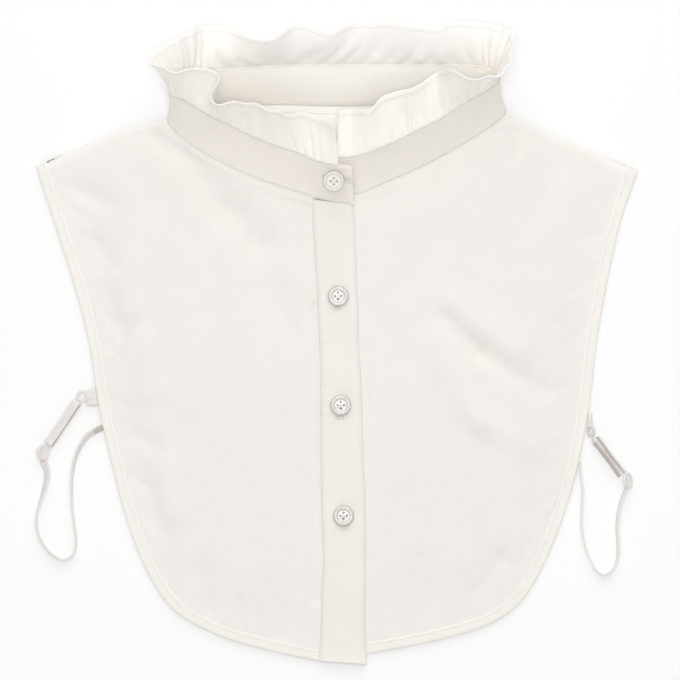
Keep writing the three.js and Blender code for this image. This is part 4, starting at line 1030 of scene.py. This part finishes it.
def placket_grid():
    """Points of the placket's middle, and their distance from its nearer long edge."""
    at = np.linspace(0, len(PLACKET["y"]) - 1, PLACKET_ROWS)
    y = column_at(PLACKET["y"], at)
    left = column_at(PLACKET["left"], at) + 0.3 * soft_noise(y, 0 * y, 17, 21)
    right = column_at(PLACKET["right"], at) + 0.3 * soft_noise(y, 0 * y, 17, 22)
    even = np.linspace(0, 1, PLACKET_COLUMNS)
    t = ease(even) * 0.5 + even * 0.5
    x = mix(left[:, None], right[:, None], t[None])
    from_left = 1 - t[None]
    top = ease((y[:, None] - PLACKET_TOP_FROM) / (PLACKET["y"][0] - PLACKET_TOP_FROM))
    foot = ease((y[:, None] - PLACKET_FOOT_FROM) / (PLACKET["y"][-1] - PLACKET_FOOT_FROM))
    yy = np.broadcast_to(y[:, None], x.shape) + PLACKET_TOP_SLOPE * from_left * top
    yy = yy + PLACKET_FOOT_SLOPE * from_left * foot
    z = placket_heights(x, np.minimum(yy, PLACKET["y"][0]))
    width = (right - left)[:, None]
    d = np.minimum(t[None] * width, (1 - t[None]) * width)
    z = z + edge_profile(d) + 0.12 * soft_noise(x, yy, 14, 23) - PLACKET_DROP * (1 - ease(d / 2.6))
    puckers = np.sin(2 * math.pi * yy / 5.7 + 2 * soft_noise(x, yy, 20, 24))
    z = z + 0.09 * puckers * np.exp(-((d - EDGE_STITCH_INSET) / 1.6) ** 2)
    return np.dstack([x, yy, z]), d


def placket():
    grid, d = placket_grid()
    # The placket's pressed edges get the painted highlight
    piece = shell(
        "placket_cloth", grid, doubled_wall(d), placket_weave, uv=grid[..., :2],
        pressed=d < PRESSED_WIDTH)
    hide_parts("placket")
    return piece, grid


def placket_stitches(grid):
    """A row of stitches inside each long edge of the placket."""
    out = grid_normals(grid)
    surface = grid + out * DOUBLED_WALL / 2
    lines = []
    for end in (0, -1):
        from_edge = np.abs(grid[:, :, 0] - grid[:, end, None, 0])
        column = np.argmin(np.abs(from_edge.mean(0) - EDGE_STITCH_INSET))
        lines.append((surface[8:-12, column], out[8:-12, column]))
    return stitches("placket_stitches", lines)


# Collar band

def band_grid(stations, t):
    """Points of the band's middle at stations, t of the way up; the end that lies on top has a
    rounded corner."""
    past = 1 - np.minimum(1, stations / BAND_CORNER_STATIONS)
    drop = BAND_CORNER * (1 - np.sqrt(1 - past * past))
    t = t[None, :] * (1 - drop / BAND_WIDTH)[:, None]
    base, top = seam_points(stations)[:, None], band_tops(stations)[:, None]
    along = seam_points(stations + STATION_STEP) - seam_points(stations - STATION_STEP)
    along = unit(along)[:, None]
    out = unit(np.cross(top - base, along))
    t = t[..., None]
    return mix(base, top, t) - out * BAND_BULGE * 4 * t * (1 - t), out


def collar_band():
    stations = np.concatenate([
        np.linspace(0, BAND_CORNER_STATIONS, BAND_CORNER_COLUMNS),
        np.linspace(0.25, LAST_STATION, BAND_COLUMNS)])
    t = np.linspace(0, 1, BAND_ROWS)
    grid, out = band_grid(stations, t)
    along = lengths_along(seam_points(stations))[:, None]
    up = t[None, :] * BAND_WIDTH
    from_end = np.minimum(along, along[-1] - along)
    d = np.minimum(np.minimum(up, BAND_WIDTH - up), from_end)
    uneven = 0.3 * soft_noise(along, up, 17, 31) + 0.14 * soft_noise(along, up * 0.6, 6, 32)
    height = edge_profile(d) + uneven * ease(d / 4)
    grid = grid - out * height[..., None]
    uv = np.dstack([np.broadcast_to(along, height.shape), np.broadcast_to(up, height.shape)])
    # The band's inner face gets the painted light, and its lower edge the painted highlight
    piece = shell(
        "collar_band_cloth", grid, doubled_wall(d), band_weave, uv=uv, inner=band_inner_painted_light,
        pressed=up + 0 * d < PRESSED_WIDTH)
    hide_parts("collar_band")
    return piece, grid


def band_stitches(grid):
    """A row of stitches inside each long edge of the band, on both its faces."""
    out = grid_normals(grid)
    column = round(EDGE_STITCH_INSET / BAND_WIDTH * (grid.shape[1] - 1))
    lines = []
    for face in (1, -1):
        surface = grid + out * face * DOUBLED_WALL / 2
        for place in (column, -1 - column):
            lines.append((surface[12:-4, place], out[12:-4, place] * face))
    return stitches("collar_band_stitches", lines)


# Ruffle

def ruffle_grid():
    """Points of the ruffle's middle, the shares along and across it, and its wall across it."""
    station = np.linspace(RUFFLE_FIRST_STATION, RUFFLE_LAST_STATION, RUFFLE_COLUMNS)
    top = band_tops(station)
    band_up = unit(top - seam_points(station))
    start = top + band_up * 0.1
    at = np.interp(station, TURNS["station"], np.arange(len(TURNS["station"])))
    x, y, lift = (smoothed(column_at(TURNS[name], at), 7) for name in ("x", "y", "lift"))
    run = np.hypot(x - top[:, 0], y - top[:, 1])
    rise = smoothed(np.minimum(RUFFLE_RISE_LIMIT, rise_of(RUFFLE_DEPTH, run)), 12)
    edge = np.column_stack([x, y, top[:, 2] + rise + lift])
    along = unit(band_tops(station + 0.04) - band_tops(station - 0.04))
    out = unit(np.cross(edge - start, along))
    share = np.linspace(0, 1, RUFFLE_COLUMNS)[:, None]
    below = np.linspace(0, 0.86, RUFFLE_ROWS - RUFFLE_HEM_ROWS)
    t = np.concatenate([below, np.linspace(RUFFLE_HEM_FROM, 1, RUFFLE_HEM_ROWS)])[None, :]
    s = share * RUFFLE_SEAM_LENGTH
    behind = np.exp(-((station[:, None] - BACK_MIDDLE_STATION) / BACK_STATIONS) ** 4)
    slant = (5.5 + 9 * behind) * t * soft_noise(s, 0 * s, 33, 45)
    phase = 2 * math.pi * GATHERS * share + 2.6 * soft_noise(s, 0 * s, 19, 41) + slant
    reach = 0.3 + 0.55 * (0.5 + 0.5 * soft_noise(s, 0 * s, 7, 42))
    strength = (0.7 + 0.3 * soft_noise(s, 0 * s, 12, 46)) * (1 + 0.9 * behind)
    fine = np.sin(phase) * strength * (0.3 + 0.7 * ease(t / 0.15)) * np.exp(-(t / reach) ** 2)
    broad = np.sin(phase / 2.2 + 1.7 + 1.5 * soft_noise(s, 0 * s, 30, 43))
    height = 0.7 * fine + 0.7 * broad * ease(t / 0.5) * (0.6 + 0.4 * t)
    height = height + 0.3 * soft_noise(s + 6 * t, t * 25, 9, 44) * ease(t / 0.3)
    height = height - RUFFLE_BULGE * 4 * t * (1 - t)
    past_hem = (t - RUFFLE_HEM_FROM) / RUFFLE_HEM_STEP
    turned_in = RUFFLE_HEM_WALL * ease(past_hem)
    height = height + turned_in / 2
    height = height + 0.12 * np.exp(-past_hem ** 2)
    grid = mix(start[:, None], edge[:, None], t[..., None]) + out[:, None] * height[..., None]
    inside = top[:, None] - band_up[:, None] * np.array([1.7, 0.8])[None, :, None]
    t = np.concatenate([[[-0.068, -0.032]], t], axis=1)
    wall = RUFFLE_WALL + np.concatenate([[[0, 0]], turned_in], axis=1)
    return np.concatenate([inside, grid], axis=1), share, t, wall


def ruffle():
    grid, share, t, wall = ruffle_grid()
    shape = grid.shape[:2]
    along = np.broadcast_to(share * RUFFLE_CLOTH_LENGTH, shape)
    uv = np.dstack([along, np.broadcast_to(t * RUFFLE_DEPTH, shape)])
    piece = shell("ruffle_cloth", grid, np.broadcast_to(wall, shape), fine_cloth, uv=uv)
    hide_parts("ruffle")
    return piece, grid, wall


def ruffle_stitches(grid, wall):
    """The hem's row of stitches, on both faces of the ruffle, in a darker thread: the stitch line plus
    painted shade along the turned hem.
    """
    out = grid_normals(grid)
    row = grid.shape[1] - RUFFLE_HEM_ROWS + 1
    lines = []
    for face in (1, -1):
        surface = grid[:, row] + out[:, row] * face * wall[0, row] / 2
        lines.append((surface[4:-4], out[4:-4, row] * face))
    return stitches("ruffle_stitches", lines, length=2.4, gap=0.1, material=hem_thread_painted_shade)


# Straps of flat elastic, with their rings and sliders

def ribbon_rings(line, across, width, wall):
    """Rounded flat section round each point of a line, width along across."""
    along = unit(np.gradient(line, axis=0))
    across = unit(np.broadcast_to(across, line.shape))
    face = unit(np.cross(along, across))
    corner = wall / 2
    flats = np.linspace(-(width / 2 - corner), width / 2 - corner, 7)
    turn = np.radians([50, 0, -50])
    upper = [(a, wall / 2) for a in flats]
    right = [(width / 2 - corner + corner * math.cos(t), corner * math.sin(t)) for t in turn]
    lower = [(-a, -wall / 2) for a in flats]
    left = [(-a, -b) for a, b in right]
    section = np.array(upper + right + lower + left)
    rings = (line[:, None] + across[:, None] * section[None, :, :1] + face[:, None] * section[None, :, 1:])
    lengths = lengths_along(line)
    uv = np.stack([
        np.repeat(lengths, len(section)),
        np.tile(section[:, 0], len(line)),
    ], axis=-1)
    return rings, uv


def loop_line(side):
    """The free loop's middle line and its width direction, lying on the floor on its lower edge."""
    rows = LOOPS[side]
    share = np.linspace(0, 1, LOOP_POINTS)
    flat, along = FlatCurve(rows).at_rows(share)
    lean = np.radians(column_at(rows["lean"], share * (len(rows["x"]) - 1)))
    across = np.stack([-along[:, 1] * np.sin(lean), along[:, 0] * np.sin(lean), np.cos(lean)], axis=-1)
    reach = np.abs(across[:, 2]) * STRAP_WIDTH + np.abs(np.sin(lean)) * STRAP_WALL
    return np.column_stack([flat, FLOOR_GAP + reach / 2]), across


def shade_stretch(piece, rings, first, last):
    """Gives the stretch of a strap between two of its rings a darker copy of the elastic: painted shade where
    it lies under its other layer or by the front's edge.
    """
    size = rings.shape[1]
    colour_faces(piece, elastic_painted_shade, slice(first * size, last * size))


def strap_loop(side):
    line, across = loop_line(side)
    start = line[0] + unit(line[0] - line[1]) * TUCKED["start"]
    end = line[-1] + unit(line[-1] - line[-2]) * TUCKED["end"]
    line = np.vstack([start, line, end])
    across = np.vstack([across[0], across, across[-1]])
    rings, uv = ribbon_rings(line, across, STRAP_WIDTH, STRAP_WALL)
    vertices, faces = tube_data(rings)
    piece = new_object("strap_loop_" + side + "_elastic", vertices, faces, ELASTIC[side], uv)
    if side == "left":
        shade_stretch(piece, rings, len(line) - 1 - PAINTED_SHADE_END_RINGS, len(line) - 1)
    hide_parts("strap_loop_" + side)
    return piece, line


def strap_doubled(side):
    size = DOUBLED[side]
    start, end = np.array([*size["start"], 0.0]), np.array([*size["end"], 0.0])
    along = unit(start - end)
    aside = np.array([-along[1], along[0], 0])
    roll = math.radians(size["roll"])
    apart = np.array([0, 0, math.cos(roll)]) + aside * math.sin(roll)
    across = aside * math.cos(roll) + np.array([0, 0, -math.sin(roll)])
    reach = size["spread"] * apart[2] + STRAP_WIDTH / 2 * abs(across[2])
    height = FLOOR_GAP + reach + STRAP_WALL / 2 * apart[2]
    turn = np.radians(np.linspace(-90, 90, 19))[:, None]
    bend = start + along * size["spread"] * np.cos(turn) + apart * size["spread"] * np.sin(turn)
    share = np.linspace(0, 1, 30)[:, None]
    sag = 0.35 * np.sin(math.pi * share) * apart
    low = mix(end - apart * size["spread"], bend[0], share) + sag
    high = mix(bend[-1], end + apart * size["spread"], share) - sag
    line = np.vstack([low[:-1], bend, high[1:]])
    line[:, 2] += height
    rings, uv = ribbon_rings(line, across, STRAP_WIDTH, STRAP_WALL)
    vertices, faces = tube_data(rings)
    piece = new_object("strap_doubled_" + side + "_elastic", vertices, faces, ELASTIC[side], uv)
    if side == "left":
        shade_stretch(piece, rings, 0, len(low) - 1)
    else:
        shade_stretch(piece, rings, len(line) - len(high), len(line) - 1)
    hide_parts("strap_doubled_" + side)
    return piece


def turned(points, angle, axis):
    """Points turned by an angle in degrees about one axis."""
    c, s = math.cos(math.radians(angle)), math.sin(math.radians(angle))
    i, j = {"x": (1, 2), "y": (2, 0), "z": (0, 1)}[axis]
    out = points.copy()
    out[..., i] = points[..., i] * c - points[..., j] * s
    out[..., j] = points[..., i] * s + points[..., j] * c
    return out


def strap_tab(side):
    """A short folded stretch of the elastic, sewn to the front's edge."""
    size = TABS[side]
    share = np.linspace(0, 1, TAB_ROWS)
    x = mix(SEAM_GAP, size["length"] + TAB_TUCKED, share)
    half = mix(size["root"], size["tip"], share) / 2
    if size["standing"]:
        half = half - TAB_WALLS[side] / 2
    v = np.linspace(-1, 1, TAB_COLUMNS)
    grid = np.dstack([
        np.broadcast_to(x[:, None], (TAB_ROWS, TAB_COLUMNS)),
        half[:, None] * v[None],
        0.12 * np.cos(v * 9)[None] * np.ones((TAB_ROWS, 1)),
    ])
    uv = grid[..., :2].copy()
    if size["standing"]:
        grid = turned(grid, 90, "x")
    grid = turned(grid, size["turn"], "z")
    grid += (*size["place"], size["root"] / 2 if size["standing"] else FRONT_EDGE_HEIGHT)
    piece = shell("strap_tab_" + side + "_elastic", grid, TAB_WALLS[side], ELASTIC[side], uv)
    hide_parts("strap_tab_" + side)
    return piece


def lathe(profile, sides):
    """Vertices and faces of a closed ring or disc turned from a profile of radius and height."""
    profile = np.array(profile, float)
    angle = np.arange(sides) * 2 * math.pi / sides
    rings = np.stack([
        profile[None, :, 0] * np.cos(angle)[:, None],
        profile[None, :, 0] * np.sin(angle)[:, None],
        np.broadcast_to(profile[None, :, 1], (sides, len(profile))),
    ], axis=-1)
    count = len(profile)
    index = np.arange(sides * count).reshape(sides, count)
    following = np.roll(index, -1, axis=0)
    faces = []
    for k in range(count - 1):
        corners = (index[:, k], following[:, k], following[:, k + 1], index[:, k + 1])
        faces.extend(np.stack(corners, 1).tolist())
    if profile[0, 0] < 1e-6:
        return weld(rings.reshape(-1, 3), faces)
    faces.extend(np.stack([index[:, -1], following[:, -1], following[:, 0], index[:, 0]], 1).tolist())
    return rings.reshape(-1, 3), faces


def weld(vertices, faces):
    """The same surface with points at one place made one, and faces cleared of repeats."""
    keys = {}
    places = [keys.setdefault(tuple(p), len(keys)) for p in np.round(vertices, 5).tolist()]
    kept = np.zeros((len(keys), 3))
    kept[places] = vertices
    tidy = []
    for face in faces:
        corners = [places[i] for i in face]
        corners = [c for k, c in enumerate(corners) if c != corners[k - 1]]
        if len(corners) > 2:
            tidy.append(corners)
    return kept, tidy


def round_ring(inner, outer, half, steps=7):
    """Profile of a ring with a rounded section, as radius and height."""
    middle, reach = (inner + outer) / 2, (outer - inner) / 2
    angle = np.linspace(0, 2 * math.pi, 4 * steps + 1)[:-1]
    c, s = np.cos(angle), np.sin(angle)
    return np.column_stack([
        middle + reach * np.sign(c) * np.abs(c) ** 0.6,
        half * np.sign(s) * np.abs(s) ** 0.6,
    ])


def strap_ring(side):
    place = RINGS[side]
    vertices, faces = lathe(round_ring(RING_HOLE_RADIUS, RING_RADIUS, RING_HALF), 48)
    vertices = turned(vertices, -place["tilt"], "y")
    tilt = math.radians(place["tilt"])
    tilted = FLOOR_GAP + RING_RADIUS * math.sin(tilt) + RING_CLEARANCE * math.cos(tilt)
    vertices = vertices + (*place["place"], max(FRONT_EDGE_HEIGHT, tilted))
    piece = new_object("strap_ring_" + side + "_plastic", vertices, faces, ring_plastic)
    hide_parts("strap_ring_" + side)
    return piece


def strap_slider(side):
    """The slider's round end: a thin disc with a raised rim and a bar across its slot."""
    place = SLIDERS[side]
    radius = SLIDER_RADIUS
    profile = [
        (0, -0.75), (radius - 0.5, -0.75), (radius - 0.12, -0.6), (radius, -0.2), (radius, 0.35),
        (radius - 0.15, 0.75), (radius - 0.5, SLIDER_TOP), (radius - 1.0, 0.84), (radius - 1.25, 0.7),
        (0, 0.7)]
    disc = lathe(profile, 56)
    bar_line = np.column_stack([np.linspace(-3.1, 3.1, 9), np.zeros(9), np.full(9, 0.62)])
    bar = tube_data(thread_rings(bar_line, 0.3, 10))
    vertices, faces = join_data([disc, bar])
    vertices = turned(turned(vertices, place["tilt"], "x"), place["turn"], "z")
    tilt = math.radians(place["tilt"])
    height = FLOOR_GAP + radius * math.sin(tilt) + SLIDER_TOP * math.cos(tilt)
    vertices = vertices + (*place["place"], height)
    piece = new_object("strap_slider_" + side + "_plastic", vertices, faces, plastic)
    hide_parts("strap_slider_" + side)
    return piece


# Buttons

def axes_from(up):
    """Turning matrix that takes the vertical to up by the shortest way."""
    return np.array(Vector((0, 0, 1)).rotation_difference(Vector(up)).to_matrix())


def band_seat():
    """Where the band's button sits: the place on the band's face, the way out of it, the way along
    it, the way the button faces and how far it stands off."""
    stations = np.array([BAND_BUTTON_STATION, BAND_BUTTON_STATION + 0.1])
    rises = BAND_BUTTON_RISE + np.array([-0.1, 0.0, 0.1])
    points, _ = band_grid(stations, rises)
    across = points[1, 1] - points[0, 1]
    normal = unit(np.cross(points[0, 2] - points[0, 0], across))
    if normal[2] < 0:
        normal = -normal
    facing = unit(mix(normal, np.array([0.0, 0.0, 1.0]), BAND_BUTTON_LEVEL))
    lift = (BUTTON_RADIUS - BUTTON_FOOT_INSET) * math.sin(math.acos(float(normal @ facing)))
    seat = points[0, 1] + normal * BAND_WALL / 2
    return seat, normal, unit(across), facing, SEAM_GAP + lift


def shade_rings(made, seat, normal, opaque):
    """Gives the button's edge, and the step inside the opaque one's rim, a darker colour: painted shade at
    the edge and in that step.
    """
    made.data.materials.append(button_opaque_painted_shade if opaque else button_clear_painted_shade)
    rings = OPAQUE_PAINTED_SHADE_RINGS if opaque else CLEAR_PAINTED_SHADE_RINGS
    for polygon in made.data.polygons:
        reach = np.array(polygon.center) / MM - seat
        flat = np.linalg.norm(reach - normal * (reach @ normal))
        polygon.material_index = int(any(low < flat < high for low, high in rings))


def button(name, seat, normal, opaque):
    """A turned button with four holes through it, sewn on with thread."""
    radius, top = BUTTON_RADIUS, BUTTON_HEIGHT
    if opaque:
        profile = [
            (0, 0), (radius - 1.2, 0), (radius - 0.3, 0.35), (radius, 0.9), (radius, top - 0.75),
            (radius - 0.22, top - 0.25), (radius - 0.7, top), (radius - 1.15, top - 0.08),
            (radius - 1.45, top - 0.4), (radius - 1.7, top - 0.62), (radius - 2.1, top - 0.62),
            (2.6, top - 0.56), (0, top - 0.56)]
    else:
        profile = [
            (0, 0), (radius - 1.4, 0), (radius - 0.4, 0.3), (radius - 0.02, 0.8), (radius, top - 1.0),
            (radius - 0.3, top - 0.5), (radius - 0.9, top - 0.16), (radius - 1.5, top - 0.12),
            (radius - 2.1, top - 0.34), (radius - 2.5, top - 0.78), (radius - 2.9, top - 0.9),
            (2.2, top - 0.8), (0, top - 0.66)]
    vertices, faces = lathe(profile, 64)
    made = new_object(name + "_turned", vertices, faces, button_opaque if opaque else button_clear)
    for k in range(4):
        angle = k * math.pi / 2
        hole = lathe([(0, -2), (BUTTON_HOLE_RADIUS, -2), (BUTTON_HOLE_RADIUS, 6), (0, 6)], 20)
        place = (BUTTON_HOLE_SPACING * math.cos(angle), BUTTON_HOLE_SPACING * math.sin(angle), 0)
        cutter = new_object("cutter", hole[0] + place, hole[1], button_opaque)
        cut = made.modifiers.new("hole", "BOOLEAN")
        cut.operation = "DIFFERENCE"
        cut.solver = "EXACT"
        cut.object = cutter
        bpy.context.view_layer.update()
        shape = bpy.data.meshes.new_from_object(made.evaluated_get(bpy.context.evaluated_depsgraph_get()))
        made.modifiers.clear()
        made.data = shape
        bpy.data.objects.remove(cutter)
    matrix = axes_from(normal)
    count = len(made.data.vertices)
    points = np.empty(count * 3)
    made.data.vertices.foreach_get("co", points)
    points = points.reshape(-1, 3) / MM @ matrix.T + seat
    made.data.vertices.foreach_set("co", (points * MM).ravel())
    shade_rings(made, seat, normal, opaque)
    made.data.polygons.foreach_set("use_smooth", [True] * len(made.data.polygons))
    made.data.set_sharp_from_angle(angle=math.radians(40))
    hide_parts(name)
    sewing = []
    strand = 0.09 if opaque else 0.13
    for offset in (-1.4 * strand, 1.4 * strand):
        for turn in (0, 90):
            arc = np.linspace(0, math.pi, 13)
            across = BUTTON_HOLE_SPACING * np.cos(arc)
            crown = top - 0.58 + (0.16 if opaque else 0.3) * np.sin(arc) + 0.12 * (turn > 0)
            up = np.where(np.abs(np.cos(arc)) > 0.93, -0.7, crown)
            line = turned(np.column_stack([across, np.full(13, offset), up]), turn, "z")
            sewing.append(tube_data(thread_rings(line @ matrix.T + seat, strand, 6)))
    sewn_piece(name + "_thread", sewing, thread)


def buttonhole(name, seat, normal, along, size):
    """Two legs of close satin stitches beside a narrow slit, with a bar of stitches at each end."""
    along = unit(along)
    across = unit(np.cross(normal, along))
    seat = seat + along * size["shift"]
    half = size["length"] / 2
    parts = []

    def lay(a, b):
        share = np.linspace(0, 1, 5)[:, None]
        crown = np.sin(math.pi * share) * 0.12 * normal
        line = seat + mix(a, b, share) + crown
        parts.append(tube_data(thread_rings(line, 0.14, 5)))

    wide = across * HOLE_HALF_WIDTH
    for s in np.arange(-half + 0.5, half - 0.5, HOLE_STITCH_STEP):
        for side in (-1, 1):
            lay(along * s + across * HOLE_SLIT * side, along * (s + 0.1) + wide * side)
    for end in (-1, 1):
        for s in np.linspace(0, 0.6, 3):
            lay(along * end * (half - s) - wide, along * end * (half - s) + wide)
    return sewn_piece(name + "_stitches", parts, thread)


# Everything in its place

def declare_sheet(piece, grid):
    """Works out the area of a sheet's grid in square metres, and keeps nothing of it."""
    grid_area(grid) * MM * MM


def make_camera():
    data = bpy.data.cameras.new("camera")
    data.sensor_width = SENSOR_WIDTH
    data.lens = SENSOR_WIDTH * CAMERA_HEIGHT / (PHOTO_PIXELS * MM_PER_PIXEL)
    data.clip_start = 0.1
    data.clip_end = 100
    made = bpy.data.objects.new("camera", data)
    made.location = (PHOTO_CENTRE_X * MM, PHOTO_CENTRE_Y * MM, CAMERA_HEIGHT * MM)
    bpy.context.scene.collection.objects.link(made)
    bpy.context.scene.camera = made


def make_floor():
    size, low = FLOOR_SIZE, -FLOOR_DROP
    corners = [(-size, -size, low), (size, -size, low), (size, size, low), (-size, size, low)]
    mesh = bpy.data.meshes.new("floor")
    mesh.from_pydata((np.array(corners) * MM).tolist(), [], [[0, 1, 2, 3]])
    material, tree, shader = new_material("floor_white")
    set_inputs(tree, shader, {
        "Base Color": FLOOR_COLOUR,
        "Emission Color": (1, 1, 1, 1),
        "Emission Strength": FLOOR_GLOW,
        "Roughness": 1.0,
        "Specular IOR Level": 0.0,
    })
    mesh.materials.append(material)
    made = bpy.data.objects.new("floor", mesh)
    bpy.context.scene.collection.objects.link(made)


def area_light(name, place, aim, size, power):
    lamp = bpy.data.lights.new(name, "AREA")
    lamp.shape = "SQUARE"
    lamp.size = size
    lamp.energy = power
    made = bpy.data.objects.new(name, lamp)
    made.location = place
    made.rotation_euler = (Vector(aim) - Vector(place)).to_track_quat("-Z", "Y").to_euler()
    bpy.context.scene.collection.objects.link(made)


def make_lights():
    world = bpy.data.worlds.new("studio")
    world.use_nodes = True
    background = world.node_tree.nodes["Background"]
    background.inputs["Color"].default_value = (1.0, 1.0, 1.0, 1)
    background.inputs["Strength"].default_value = WORLD_LIGHT
    bpy.context.scene.world = world
    for light in LIGHTS:
        area_light(**light)


make_camera()
make_floor()
make_lights()
bpy.context.scene.view_settings.view_transform = "Standard"

loops = {side: strap_loop(side) for side in SIDES}
for side in SIDES:
    strap_doubled(side)
    strap_slider(side)
    strap_ring(side)
    strap_tab(side)
for side in SIDES:
    piece, line = loops[side]
    float(lengths_along(line)[-1] * MM)

back_cloth, back_points = back_panel()
back_tape = back_binding()
fronts = {side: front_panel(side) for side in SIDES}
front_tapes = {side: front_binding(side) for side in SIDES}
groove_rows = {
    side: groove_stitches(side, 0, FRONT_EDGE_HEIGHT, "binding_front_" + side + "_stitches")
    for side in SIDES}
back_rows = [
    groove_stitches(side, BACK_INSET, BACK_BINDING_HEIGHT, "binding_back_stitches_" + side)
    for side in SIDES]
placket_cloth, placket_points = placket()
placket_rows = placket_stitches(placket_points)
band_cloth, band_points = collar_band()
band_rows = band_stitches(band_points)
ruffle_cloth, ruffle_points, ruffle_wall = ruffle()
ruffle_rows = ruffle_stitches(ruffle_points, ruffle_wall)

# Buttons with their buttonholes
seat, normal, along, facing, stand_off = band_seat()
button("button_1", seat + normal * stand_off, facing, opaque=True)
band_hole = buttonhole("buttonhole_1", seat - normal * 0.12, normal, along, BAND_HOLE)
up = np.array([0.0, 0.0, 1.0])
for name, (x, y) in BUTTONS.items():
    middle = placket_heights(np.array([x]), np.array([y]))[0]
    button(name, np.array([x, y, middle + PLACKET_WALL / 2 + SEAM_GAP]), up, opaque=False)
    hole_seat = np.array([x, y, middle + DOUBLED_WALL / 2 + 0.06])
    hole_name = name.replace("button", "buttonhole")
    buttonhole(hole_name, hole_seat, up, np.array(PLACKET_DIRECTION), PLACKET_HOLE)

# Areas of the cloth sheets' grids, worked out and not kept
declare_sheet(back_cloth, back_points)
for side in SIDES:
    piece, points = fronts[side]
    declare_sheet(
        piece, points)
declare_sheet(
    placket_cloth, placket_points)
declare_sheet(
    band_cloth, band_points)
declare_sheet(
    ruffle_cloth, ruffle_points)
